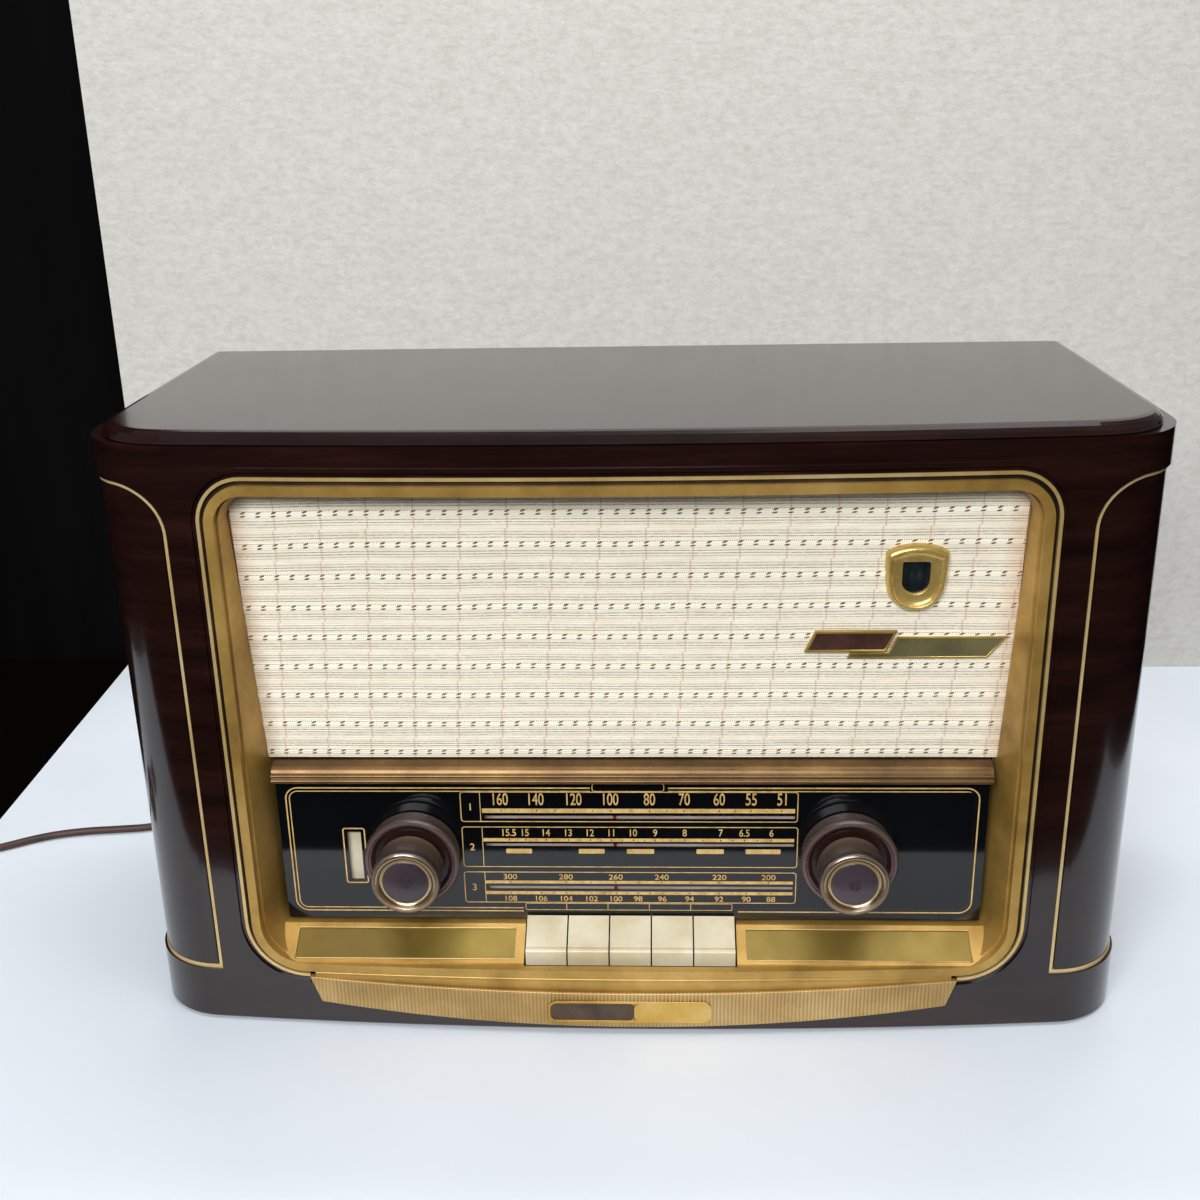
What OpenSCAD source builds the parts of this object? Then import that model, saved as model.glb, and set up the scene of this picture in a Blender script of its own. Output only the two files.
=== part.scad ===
/* [Cabinet] */
// Width over the sides
cab_w = 530; // [500:1:560]
// Depth at the middle, front bow to rear edge
cab_d = 223; // [205:1:245]
// Height of the top board above the table
cab_h = 330; // [322:1:345]
// Radius of the bowed front
bow_r = 2900; // [2400:10:4000]
// Radius of the upright front corners
corner_r = 40; // [32:1:46]
// Thickness of the side walls
wall = 9; // [7:0.5:12]
// Thickness of the front panel
front_t = 12; // [9:0.5:15]
// Thickness of the bottom board
bottom_t = 8; // [6:0.5:12]
// Height of the rounded edge of the top board
lid_edge = 6.5; // [5:0.5:8]
// Thickness of the part of the lid that drops inside the walls
lid_plug = 9; // [6:0.5:14]
// How far the lid stands back from the sides
lid_inset = 5.5; // [3:0.5:8]
// Thickness of the felt feet
foot_t = 2; // [1:0.5:4]
// Diameter of the felt feet
foot_d = 24; // [16:1:32]
// Running clearance between seated pieces
fit_gap = 0.3; // [0.2:0.05:0.5]

/* [Side panels] */
// Distance of the gold line from the middle of the set
line_x = 221.5; // [218:0.5:224]
// Height of the lower gold line
line_z0 = 32; // [24:1:45]
// Drop of the gold line from the top of the cabinet
line_drop = 25.5; // [22:0.5:34]
// Radius where the gold line turns onto the side
line_r = 26; // [15:1:32]
// Width of the gold line
line_w = 2; // [1.5:0.1:3]
// Depth of the sunk side panel
panel_sink = 1.8; // [1:0.1:2.5]

/* [Front opening] */
// Half width of the opening in the front panel
open_x = 206; // [202:0.5:209]
// Lower edge of the opening
open_z0 = 30.5; // [29:0.5:33]
// Drop of the front opening from the top of the cabinet
open_drop = 21; // [20:0.5:24]
// Radius of the upper corners
open_rt = 24; // [18:1:30]
// Radius of the lower corners
open_rb = 32; // [26:1:36]
// Width of the raised bead round the opening
bead_w = 2.2; // [1.5:0.1:2.5]
// Width of the outer gold ring
ring_w = 2; // [1.5:0.1:2.5]
// Width of the dark groove
groove_w = 2.4; // [1.5:0.1:3]
// Width of the gold band of the bezel
band_w = 4.8; // [4:0.1:6]
// How far the band stands proud of the front
band_proud = 2.2; // [1.5:0.1:3]
// How far the splayed reveal narrows
splay = 8; // [6:0.5:10]

/* [Dial] */
// Half width of the dial glass
glass_x = 187; // [184:0.5:187]
// Lower edge of the glass
glass_z0 = 54; // [52:0.5:56]
// Upper edge of the glass
glass_z1 = 138; // [136:0.5:142]
// Thickness of the glass
glass_t = 3; // [2:0.5:4]
// Depth of the glass behind the middle of the front
glass_back = 25.7; // [24:0.1:28]
// Height of the brass divider
divider_h = 10.5; // [8:0.5:12]
// Length of the pointer
pointer_h = 66; // [60:1:70]
// Height of the pointer rail
rail_z = 130; // [128:0.5:132]

/* [Grille] */
// Lean of the baffle
baffle_tilt = 5.2; // [3:0.1:7]
// Thickness of the baffle board
baffle_t = 8; // [6:0.5:10]
// Thickness of the cloth panel
cloth_t = 1.2; // [0.8:0.1:2]
// How far the loudspeaker stands past half the height of the baffle
horn_over = 5.75; // [0:0.25:6]
// Sideways place of the loudspeaker
horn_x = -30; // [-60:1:20]
// Radius of the tweeter hole
tweeter_r = 28; // [24:1:34]
// Sideways place of the tweeter
tweeter_x = -158; // [-165:1:-150]
// Sideways place of the tuning eye
eye_x = 141.5; // [130:0.5:150]
// Drop of the tuning eye from the top of the front opening
eye_drop = 57; // [48:0.5:68]

/* [Knobs] */
// Distance of each knob pair from the middle
knob_x = 115; // [110:0.5:120]
// Height of the knob pairs
knob_z = 95.5; // [93:0.5:98]
// How far the knobs stand in front of the cabinet
knob_proud = 7.3; // [5:0.1:10]
// Diameter of the rear ring knob
ring_d = 51; // [46:0.5:54]
// Diameter of the front knob
knob_d = 36; // [32:0.5:40]
// Length of the front knob
knob_len = 19; // [16:0.5:22]
// Radius of the inner shafts
shaft_r = 3; // [2.5:0.1:3.5]
// Wall of the hollow outer shafts
sleeve_t = 1.4; // [1:0.1:2]

/* [Keys] */
// Number of keys
key_n = 5; // [3:1:5]
// Spacing of the keys
key_pitch = 22.5; // [20:0.1:23]
// Gap between two keys
key_gap = 0.8; // [0.6:0.1:1.5]
// Depth of the key pivot behind the middle of the front
key_pivot_back = 88; // [80:1:92]
// Height of the key pivot
key_pivot_z = 46; // [43:0.5:48]
// Radius of the pivot rod
key_rod_r = 1.5; // [1.2:0.1:2]

/* [Trim strip] */
// Half length of the strip along its upper edge
strip_x = 172.5; // [165:0.5:176]
// Height of the upper edge at the middle
strip_z1 = 26; // [24:0.5:28]
// Height of the lower edge at the middle
strip_z0 = 5; // [4:0.5:8]
// Rise of the upper edge towards the ends
strip_rise1 = 6; // [4:0.5:8]
// Rise of the lower edge towards the ends
strip_rise0 = 12.3; // [9:0.1:14]
// How far the strip stands proud
strip_proud = 3; // [2:0.1:4]

/* [Chassis] */
// Half width of the chassis
chassis_x = 185; // [175:1:195]
// Height of the chassis deck
chassis_z = 62; // [58:1:66]
// Depth of the chassis
chassis_d = 104; // [96:1:106]
// Height of the chassis skirt above the bottom board
skirt_lift = 0; // [0:0.5:2]
// Thickness of the chassis sheet
sheet_t = 1.5; // [1:0.1:2]
// Diameter of a valve bulb
valve_d = 21; // [18:0.5:24]
// Height of a valve bulb
valve_h = 58; // [48:1:64]

/* [Mains lead] */
// Diameter of the mains lead
cord_d = 5; // [4.5:0.1:5.5]
// Turns in one layer of the coil
coil_turns = 4; // [3:1:4]
// Inner radius of the coil at mid cord
coil_r = 16; // [15:0.5:20]
// Step between neighbouring turns
coil_step = 5.7; // [5.6:0.1:6.5]

/* [Hidden] */
line_z1 = cab_h - line_drop;
open_z1 = cab_h - open_drop;
eye_z = open_z1 - eye_drop;
bow_fn = 1440;
front_y = (knob_proud - cab_d) / 2;
back_y = front_y + cab_d;
bow_cy = front_y + bow_r;
corner_x = cab_w / 2 - corner_r;
corner_y = bow_cy - sqrt(pow(bow_r - corner_r, 2) - pow(corner_x, 2));
body_z0 = foot_t;
body_z1 = cab_h - lid_edge;
floor_z = foot_t + bottom_t;
split_x = line_x + line_w + 1;
inner_x = cab_w / 2 - wall - fit_gap;
glass_y = front_y + glass_back;
scale_y = glass_y + glass_t + 5;
cord_y = scale_y + 6;
divider_z1 = glass_z1 + divider_h;
baffle_y = glass_y + 5;
bezel_y1 = glass_y + 9;
baffle_x = glass_x + 8;
baffle_h = open_z1 - divider_z1 - 4;
horn_r = baffle_h / 2 + horn_over;
key_y = front_y + key_pivot_back;
key_w = key_pitch - key_gap;
key_slot_x = key_n * key_pitch / 2 + 0.6;
chassis_y0 = back_y - 8 - chassis_d;
ring_face = glass_y - 13;
knob_face = front_y - knob_proud;
coil_c = [-485, 28];
plug_r = 12;

gold = "#b8923f";
brass = "#b09060";
cabinet_c = "#2f1c1e";
steel = "#9a9da0";

// Height of the front surface line at a distance from the middle
function bow_y(x) = bow_cy - sqrt(bow_r * bow_r - x * x);

// Outline of the cabinet seen from above, drawn in by i
module plan2d(i = 0) {
  tx = corner_x * (bow_r - i) / (bow_r - corner_r);
  hx = cab_w / 2 - i;
  intersection() {
    translate([0, bow_cy]) circle(r = bow_r - i, $fn = bow_fn);
    translate([-tx, front_y - 20]) square([2 * tx, cab_d + 20]);
  }
  for (s = [-1, 1]) {
    translate([s * corner_x, corner_y]) circle(r = corner_r - i, $fn = 96);
    translate([s < 0 ? -hx : tx - 1, corner_y]) square([hx - tx + 1, back_y - corner_y]);
  }
}

// Skin of the front between two depths behind the outer surface
module skin(i0, i1, z0, z1) {
  translate([0, 0, z0]) linear_extrude(z1 - z0) difference() {
    plan2d(i0);
    plan2d(i1);
    translate([-cab_w, back_y - 60]) square([2 * cab_w, 100]);
  }
}

// Stands a front view outline upright and carries it from y0 to y1
module front_view(y0, y1) {
  translate([0, y1, 0]) rotate([90, 0, 0]) linear_extrude(y1 - y0) children();
}

// Rectangle with its own upper and lower corner radii
module round_rect(hx, z0, z1, rt, rb) {
  translate([-hx, z0 + rb]) square([2 * hx, z1 - z0 - rt - rb]);
  translate([-hx + rt, z1 - rt - 1]) square([2 * (hx - rt), rt + 1]);
  translate([-hx + rb, z0]) square([2 * (hx - rb), rb + 1]);
  for (s = [-1, 1]) {
    translate([s * (hx - rt), z1 - rt]) circle(r = rt, $fn = 96);
    translate([s * (hx - rb), z0 + rb]) circle(r = rb, $fn = 96);
  }
}

// Outline of the front opening, drawn in by i
module opening2d(i = 0) {
  round_rect(open_x - i, open_z0 + i, open_z1 - i, open_rt - i, open_rb - i);
}

// Ring between two insets of the front opening
module ring2d(i0, i1) {
  difference() {
    opening2d(i0);
    opening2d(i1);
  }
}

// Outline of the sunk side panel in front view, drawn in by i
module side2d(i = 0) {
  x0 = line_x + i;
  r = line_r - i;
  difference() {
    translate([x0, line_z0 + i]) square([cab_w, line_z1 - line_z0 - 2 * i]);
    translate([x0 - 1, line_z1 - line_r]) square([r + 1, line_r + 1]);
  }
  translate([line_x + line_r, line_z1 - line_r]) circle(r = r, $fn = 96);
}

module top_board() {
  color(cabinet_c) {
    hull() for (a = [0, 22.5, 45, 67.5, 90]) {
      i = 0.6 + lid_edge * 0.9 * (1 - cos(a));
      translate([0, 0, body_z1 + lid_edge * (0.1 + 0.9 * sin(a)) - 0.05]) linear_extrude(0.05)
        lid2d(i);
    }
    translate([0, 0, body_z1]) linear_extrude(lid_edge * 0.3) board2d(lid_inset + 3, back_y - 0.5);
    translate([0, 0, body_z1 - lid_plug]) linear_extrude(lid_plug + 0.5) board2d(front_t + fit_gap, back_y - 6);
  }
}

// Outline of an inner board: the bow in front, cut corners and a straight back at y1
module board2d(i, y1) {
  hx = cab_w / 2 - i;
  x0 = corner_x - 20;
  y0 = corner_y - corner_r + i - 20;
  intersection() {
    translate([0, bow_cy]) circle(r = bow_r - i, $fn = bow_fn);
    polygon([[-hx, y1], [-hx, corner_y], [-x0, y0], [x0, y0], [hx, corner_y], [hx, y1]]);
  }
}

module lid2d(i) {
  intersection() {
    union() {
      for (s = [-1, 1]) translate([s * (corner_x - lid_inset), corner_y]) circle(r = corner_r - i, $fn = 48);
      intersection() {
        translate([0, bow_cy]) circle(r = bow_r - i, $fn = 720);
        translate([-corner_x + lid_inset, front_y - 1]) square([2 * (corner_x - lid_inset), cab_d + 1]);
      }
      translate([-cab_w / 2 + lid_inset + i, corner_y]) square([cab_w - 2 * lid_inset - 2 * i, back_y - corner_y]);
    }
    translate([-cab_w, front_y - 1]) square([2 * cab_w, cab_d + 1]);
  }
}

// Side wall that wraps round the front corner, with its sunk panel and the seat of the gold line
module side_wall() {
  difference() {
    translate([0, 0, body_z0]) linear_extrude(body_z1 - body_z0) difference() {
      plan2d(0);
      plan2d(wall);
      translate([-cab_w, front_y - 20]) square([cab_w + split_x, cab_d + 40]);
    }
    difference() {
      front_view(front_y - 10, back_y + 10) side2d(line_w);
      translate([0, 0, -1]) linear_extrude(cab_h) plan2d(panel_sink);
    }
    difference() {
      front_view(front_y - 10, back_y + 10) side2d(0);
      translate([0, 0, -1]) linear_extrude(cab_h) plan2d(panel_sink + 1);
    }
  }
  difference() {
    front_view(front_y - 10, back_y - 0.01) side2d(line_w);
    translate([0, 0, -1]) linear_extrude(cab_h) difference() {
      square(cab_w * 4, center = true);
      plan2d(panel_sink);
    }
    translate([0, 0, -2]) linear_extrude(cab_h + 4) plan2d(wall - 1);
    translate([-cab_w + split_x, front_y - 20, -1]) cube([cab_w, cab_d + 40, cab_h]);
  }
}

module side_right() {
  color(cabinet_c) side_wall();
}

module side_left() {
  color(cabinet_c) mirror([1, 0, 0]) side_wall();
}

module inlay() {
  intersection() {
    front_view(front_y - 10, back_y) difference() {
      side2d(0);
      side2d(line_w);
    }
    translate([0, 0, line_z0 - 1]) linear_extrude(line_z1 - line_z0 + 2) difference() {
      plan2d(panel_sink - 0.5);
      plan2d(panel_sink + 1);
    }
  }
}

module inlay_right() {
  color(gold) inlay();
}

module inlay_left() {
  color(gold) mirror([1, 0, 0]) inlay();
}

module front_panel() {
  color(cabinet_c) {
    difference() {
      intersection() {
        skin(0, front_t, body_z0, body_z1);
        translate([-split_x, front_y - 10, 0]) cube([2 * split_x, 60, cab_h]);
      }
      front_view(front_y - 30, front_y + 60) opening2d(0);
      for (s = [0, 1]) mirror([s, 0, 0]) difference() {
        front_view(front_y - 10, front_y + 60) side2d(0);
        translate([0, 0, -1]) linear_extrude(cab_h) plan2d(panel_sink + 1);
      }
    }
    difference() {
      intersection() {
        skin(-1.1, 1, open_z0 - 8, open_z1 + 8);
        front_view(front_y - 20, front_y + 40) ring2d(-2 - bead_w, -2);
      }
      strip_run();
    }
  }
}

module bottom_board() {
  color("#5a4030") translate([0, 0, foot_t]) linear_extrude(bottom_t) board2d(front_t + fit_gap, back_y - 4);
}

module feet() {
  color("#4a4440") for (x = [-1, 1], y = [front_y + 45, back_y - 35])
    translate([x * (inner_x - 30), y, 0]) cylinder(r = foot_d / 2, h = foot_t, $fn = 48);
}

module back_battens() {
  color("#7a5a40") for (s = [-1, 1])
    translate([s > 0 ? inner_x - 12 : -inner_x, back_y - 19, floor_z]) cube([12, 12, body_z1 - lid_plug - floor_z]);
}

module back_cover() {
  cover_x = inner_x - fit_gap;
  z0 = floor_z + 2;
  z1 = body_z1 - lid_plug - 2;
  color("#6b4a30") difference() {
    translate([-cover_x, back_y - 7, z0]) cube([2 * cover_x, 3, z1 - z0]);
    for (x = [-225 : 12 : 225], z = [z1 - 70, z1 - 130])
      translate([x, back_y - 9, z]) cube([3, 8, 44]);
    for (x = [-165 : 12 : 165]) translate([x, back_y - 9, chassis_z + 12]) cube([3, 8, 36]);
    translate([18, back_y - 9, 22]) cube([134, 8, 30]);
    translate([-150, back_y - 9, 26]) rotate([-90, 0, 0]) cylinder(r = 6, h = 10, $fn = 48);
    for (s = [-1, 1], z = [z0 + 16, (z0 + z1) / 2, z1 - 16])
      translate([s * (inner_x - 6), back_y - 10, z]) rotate([-90, 0, 0]) cylinder(r = 2, h = 10, $fn = 24);
  }
}

module cover_screws() {
  z0 = floor_z + 2;
  z1 = body_z1 - lid_plug - 2;
  color(brass) for (s = [-1, 1], z = [z0 + 16, (z0 + z1) / 2, z1 - 16])
    translate([s * (inner_x - 6), back_y - 4, z]) rotate([-90, 0, 0]) rotate_extrude($fn = 32)
      polygon([[0, -3], [1.8, -3], [1.8, 0], [4, 0], [3.2, 1.6], [1.6, 2.2], [0, 2.4]]);
}

// Lower run where the trim strip takes the place of the bead and rings
module strip_run() {
  translate([-strip_x - fit_gap, front_y - 20, 0])
    cube([2 * (strip_x + fit_gap), 60, open_z0 + ring_w + groove_w + 1]);
}

module trim_ring() {
  color(gold) difference() {
    intersection() {
      skin(-0.6, 4, open_z0 - 1, open_z1 + 1);
      front_view(front_y - 20, front_y + 40) ring2d(fit_gap, ring_w);
    }
    strip_run();
  }
}

module groove_ring() {
  color("#241a18") difference() {
    intersection() {
      skin(1.4, 5, open_z0 - 1, open_z1 + 1);
      front_view(front_y - 20, front_y + 40) ring2d(ring_w, ring_w + groove_w);
    }
    strip_run();
  }
}

// Sloping floor line of the sill, from the glass down to the lip
module sill2d() {
  lip = open_z0 + ring_w + groove_w + band_w;
  polygon([[front_y + 4, lip - 6], [front_y + 4, lip + 0.6], [glass_y - 2.5, glass_z0 - 1.6],
    [bezel_y1, glass_z0 - 1.6], [bezel_y1, lip - 6]]);
}

module bezel() {
  band_i = ring_w + groove_w;
  in_i = band_i + band_w;
  cut_y = front_y + 7.2;
  lip = open_z0 + in_i;
  color(gold) difference() {
    union() {
      intersection() {
        skin(-band_proud, 6, open_z0, open_z1);
        front_view(front_y - 20, front_y + 40) ring2d(band_i, in_i);
      }
      intersection() {
        difference() {
          front_view(front_y + 1, bezel_y1) opening2d(band_i);
          front_view(front_y - 5, cut_y) opening2d(in_i);
          hull() {
            front_view(cut_y - 0.2, cut_y - 0.1) opening2d(in_i + 0.4);
            front_view(bezel_y1 + 1, bezel_y1 + 1.1) opening2d(in_i + splay);
          }
        }
        translate([0, 0, open_z0]) linear_extrude(open_z1 - open_z0) plan2d(3);
      }
      difference() {
        intersection() {
          translate([-open_x + in_i - 2, 0, 0]) rotate([90, 0, 90]) linear_extrude(2 * (open_x - in_i + 2)) sill2d();
          front_view(front_y + 3, bezel_y1) opening2d(band_i + 1);
        }
        for (s = [-1, 1]) pad_hollow(s);
      }
    }
    translate([-key_slot_x, front_y + 2.5, open_z0 - 5]) cube([2 * key_slot_x, 60, glass_z0 + 6 - open_z0]);
    translate([-glass_x - fit_gap, glass_y - 0.2, glass_z0 - fit_gap])
      cube([2 * (glass_x + fit_gap), 30, divider_z1 - glass_z0 + 2 * fit_gap]);
    on_baffle() translate([-baffle_x - fit_gap, -fit_gap, -fit_gap]) cube([2 * (baffle_x + fit_gap), 60, baffle_h + 4]);
  }
}

// Shallow sunk field of the gold pad beside the keys
module pad_hollow(s) {
  dy = glass_y - 2.5 - front_y - 4;
  lip = open_z0 + ring_w + groove_w + band_w;
  dz = glass_z0 - 2.2 - lip;
  a = atan2(dz, dy);
  x0 = key_slot_x + 5;
  x1 = open_x - ring_w - groove_w - band_w - 16;
  translate([s > 0 ? x0 : -x1, front_y + 6, lip + 0.6 - 0.8 + 2 * tan(a)]) rotate([a, 0, 0])
    cube([x1 - x0, dy / cos(a) - 5, 6]);
}

module divider_moulding() {
  color(brass) translate([-glass_x + 0.5, 0, 0]) rotate([90, 0, 90]) linear_extrude(2 * glass_x - 1)
    polygon([[glass_y - 4.5, glass_z1 + 0.3], [glass_y - 6, glass_z1 + 1.2], [glass_y - 6, glass_z1 + 2.4],
      [glass_y - 4.6, glass_z1 + 3.3], [glass_y - 5.2, glass_z1 + 4.2], [glass_y - 4.6, glass_z1 + 5.2],
      [glass_y - 0.6, glass_z1 + divider_h - 0.6], [glass_y + 3, glass_z1 + divider_h - 0.6],
      [glass_y + 3, glass_z1 + 0.3]]);
}

// Front view of the strip: two bows and slanted ends
module strip2d(z1, r1) {
  r0 = strip_x * strip_x / (2 * strip_rise0);
  intersection() {
    difference() {
      translate([0, strip_z0 + r0]) circle(r = r0, $fn = 720);
      translate([0, z1 + r1]) circle(r = r1, $fn = 1440);
    }
    polygon([[-strip_x, z1 + strip_rise1 + 1], [strip_x, z1 + strip_rise1 + 1], [strip_x - 11, strip_z0 - 4],
      [-strip_x + 11, strip_z0 - 4]]);
  }
}

// Smooth field between the lip and the strip
module fascia2d(r1) {
  intersection() {
    translate([0, strip_z1 + r1 - 1]) circle(r = r1, $fn = 1440);
    translate([-strip_x + 3, strip_z1 - 2]) square([2 * strip_x - 6, open_z0 + ring_w + groove_w - strip_z1 + 1.6]);
  }
}

module trim_strip() {
  r1 = strip_x * strip_x / (2 * strip_rise1);
  color("#c9a552") {
    intersection() {
      skin(-strip_proud, -0.05, 0, open_z0 + 20);
      front_view(front_y - 20, front_y + 40) strip2d(strip_z1, r1);
    }
    intersection() {
      skin(-1.6, -0.05, 0, open_z0 + 20);
      front_view(front_y - 20, front_y + 40) fascia2d(r1);
    }
    intersection() {
      skin(-1, 4, open_z0 + fit_gap, open_z0 + ring_w + groove_w - 0.5);
      translate([-strip_x + 4, front_y - 20, 0]) cube([2 * strip_x - 8, 60, 60]);
    }
  }
}

// Local frame of the leaning baffle: x across, y inwards, z up the board
module on_baffle() {
  translate([0, baffle_y - 0.2, divider_z1]) rotate([baffle_tilt, 0, 0]) children();
}

module baffle_board() {
  h = baffle_h;
  color("#8a6a48") on_baffle() difference() {
    translate([-baffle_x, cloth_t + 0.1, 0]) cube([2 * baffle_x, baffle_t, h]);
    translate([horn_x, -5, h / 2]) rotate([-90, 0, 0]) cylinder(r = horn_r - 10, h = 30, $fn = 128);
    translate([tweeter_x, -5, h / 2]) rotate([-90, 0, 0]) cylinder(r = tweeter_r - 4, h = 30, $fn = 64);
    translate([eye_x, -5, eye_z - divider_z1]) rotate([-90, 0, 0]) cylinder(r = 13, h = 30, $fn = 64);
  }
}

module grille_cloth() {
  color("#f3e6cf") on_baffle() difference() {
    translate([-baffle_x + 2, 0, 0.3]) cube([2 * baffle_x - 4, cloth_t, baffle_h - 2]);
    translate([eye_x, -5, eye_z - divider_z1]) rotate([-90, 0, 0]) cylinder(r = 13, h = 30, $fn = 64);
  }
}

// Shield shape with a rounded top, drawn in by i
module shield2d(i) {
  hull() {
    translate([-10.5, 11]) circle(r = 5 - i, $fn = 32);
    translate([10.5, 11]) circle(r = 5 - i, $fn = 32);
    translate([0, 13]) circle(r = 5 - i, $fn = 32);
    translate([-5.5, -11.5]) circle(r = 6 - i, $fn = 32);
    translate([5.5, -11.5]) circle(r = 6 - i, $fn = 32);
  }
}

module eye_window2d() {
  translate([-6.5, -2]) square([13, 10]);
  translate([0, -2]) circle(r = 6.5, $fn = 48);
}

module eye_escutcheon() {
  color(gold) on_baffle() translate([eye_x, 0, eye_z - divider_z1]) difference() {
    union() {
      translate([0, -0.3, 0]) rotate([90, 0, 0]) linear_extrude(2.2) shield2d(0);
      translate([0, -2, 0]) rotate([90, 0, 0]) linear_extrude(2) difference() {
        shield2d(1.6);
        shield2d(3.4);
      }
      translate([0, -2, 0]) rotate([90, 0, 0]) linear_extrude(1.6) difference() {
        circle(r = 10.5, $fn = 64);
        eye_window2d();
      }
    }
    translate([0, 2, 0]) rotate([90, 0, 0]) linear_extrude(8) eye_window2d();
  }
}

module magic_eye() {
  color("#10302a") on_baffle() translate([eye_x, 0.6, eye_z - divider_z1]) rotate([-90, 0, 0]) rotate_extrude($fn = 64)
    polygon([[0, 0], [9, 0], [10.5, 1.5], [11, 4], [11, 52], [9, 56], [9, 66], [0, 66]]);
}

module dial_glass() {
  color("#0a0a0c") difference() {
    front_view(glass_y, glass_y + glass_t) round_rect(glass_x, glass_z0, glass_z1, 1, 8);
    for (s = [-1, 1]) translate([s * knob_x, glass_y - 1, knob_z]) rotate([-90, 0, 0])
      cylinder(r = shaft_r + sleeve_t + 3, h = 10, $fn = 48);
  }
}

module scale_panel() {
  color("#d8d4c8") difference() {
    translate([-glass_x + 4, scale_y, glass_z0 + 6]) cube([2 * glass_x - 8, 1.5, glass_z1 - glass_z0 - 14]);
    for (s = [-1, 1]) translate([s * knob_x, scale_y - 1, knob_z]) rotate([-90, 0, 0])
      cylinder(r = shaft_r + sleeve_t + 3, h = 10, $fn = 48);
  }
  color(steel) for (s = [-1, 1]) translate([s > 0 ? glass_x - 12 : -glass_x + 4, scale_y + 1.5, floor_z])
    cube([8, 1.5, glass_z1 - floor_z - 10]);
  color(steel) for (s = [-1, 1]) translate([s > 0 ? glass_x - 12 : -glass_x + 4, glass_y + glass_t + 0.3, glass_z0 + 2])
    cube([8, scale_y - glass_y - glass_t + 1.2, 6]);
}

module pointer_rail() {
  color(steel) {
    translate([-105, scale_y + 3, rail_z]) rotate([0, 90, 0]) cylinder(r = 1.5, h = 215, $fn = 32);
    for (x = [-105, 108]) translate([x, scale_y + 1.6, rail_z - 4]) cube([2, 4, 6]);
    for (s = [-1, 1]) translate([s * 118, cord_y - 4.4, rail_z + 2]) rotate([-90, 0, 0])
      cylinder(r = 1.5, h = 7.5, $fn = 24);
    for (s = [-1, 1]) translate([s * 118, cord_y - 1.5, rail_z + 2]) rotate([-90, 0, 0]) difference() {
      cylinder(r = 6.5, h = 3, $fn = 64);
      rotate_extrude($fn = 64) translate([6.9, 1.5]) circle(r = 1.1, $fn = 24);
    }
  }
}

module dial_pointer() {
  px = -8;
  color("#a8242c") translate([px - 0.8, glass_y + glass_t + 1.6, rail_z - 2 - pointer_h]) cube([1.6, 1.2, pointer_h + 6]);
  color("#a8242c") difference() {
    union() {
      translate([px - 5, glass_y + glass_t + 1.6, rail_z + 3]) cube([10, cord_y - glass_y - glass_t - 2.4, 1.4]);
      translate([px - 5, scale_y + 0.6, rail_z - 3]) cube([10, 4.8, 6.5]);
    }
    translate([px - 6, scale_y + 3, rail_z]) rotate([0, 90, 0]) cylinder(r = 1.75, h = 12, $fn = 32);
    translate([px - 6, scale_y - 1, rail_z - 4]) cube([12, 2.9, 6]);
  }
}

module dial_cord() {
  r = 0.5;
  z1 = rail_z + 2 + 6.9;
  z0 = rail_z + 2 - 6.9;
  color("#c8b890") {
    translate([-118, cord_y, z1]) rotate([0, 90, 0]) cylinder(r = r, h = 236, $fn = 16);
    translate([-118, cord_y, z0]) rotate([0, 90, 0]) cylinder(r = r, h = 236, $fn = 16);
    for (s = [-1, 1]) translate([s * 118, cord_y, rail_z + 2]) intersection() {
      rotate([90, 0, 0]) rotate_extrude($fn = 64) translate([6.9, 0]) circle(r = r, $fn = 16);
      translate([s > 0 ? 0 : -10, -2, -10]) cube([10, 4, 20]);
    }
  }
}

module tone_flag() {
  color("#efe8d6") {
    translate([-152.5, scale_y - fit_gap - 1.2, 76]) cube([11, 1.2, 34]);
    translate([-149, scale_y - fit_gap - 1.2, 108]) cube([4, 1.2, 14]);
  }
}

// Turned front knob with a rim, a ring and a domed cap, on its shaft
module front_knob(s, tail) {
  translate([s * knob_x, knob_face, knob_z]) rotate([-90, 0, 0]) {
    color("#3a2828") rotate_extrude($fn = 96) polygon([[0, 1.2], [8, 0.9], [knob_d / 2 - 5, 1.6], [knob_d / 2 - 4.4, 1.2],
      [knob_d / 2 - 3.4, 0.4], [knob_d / 2 - 2.6, 0], [knob_d / 2 - 1.4, 0], [knob_d / 2 - 0.2, 0.8],
      [knob_d / 2, 2], [knob_d / 2, 4], [knob_d / 2 - 0.6, 5], [knob_d / 2 - 0.9, knob_len], [0, knob_len]]);
    color(steel) cylinder(r = shaft_r, h = tail, $fn = 48);
  }
}

module volume_knob() {
  front_knob(-1, scale_y + 16 - knob_face);
}

module tuning_knob() {
  front_knob(1, scale_y + 40 - knob_face);
  color("#8a8a8c") translate([knob_x, scale_y + 22, knob_z]) rotate([-90, 0, 0]) cylinder(r = 17, h = 8, $fn = 96);
}

// Ring knob on its hollow shaft
module ring_knob(s) {
  bore = shaft_r + 0.15;
  translate([s * knob_x, ring_face, knob_z]) rotate([-90, 0, 0]) {
    color("#3a2828") rotate_extrude($fn = 96) polygon([[bore, 2.6], [knob_d / 2 + 1.5, 2.6], [ring_d / 2 - 4.2, 1.4],
      [ring_d / 2 - 3.4, 0.5], [ring_d / 2 - 2.4, 0], [ring_d / 2 - 1, 0.3], [ring_d / 2, 1.6], [ring_d / 2, 3.4],
      [ring_d / 2 - 0.8, 4.6], [ring_d / 2 - 1.2, 11.8], [bore, 11.8]]);
    color(steel) rotate_extrude($fn = 64) polygon([[bore, 11], [bore + sleeve_t, 11], [bore + sleeve_t, scale_y + 12 - ring_face],
      [bore, scale_y + 12 - ring_face]]);
  }
}

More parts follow.
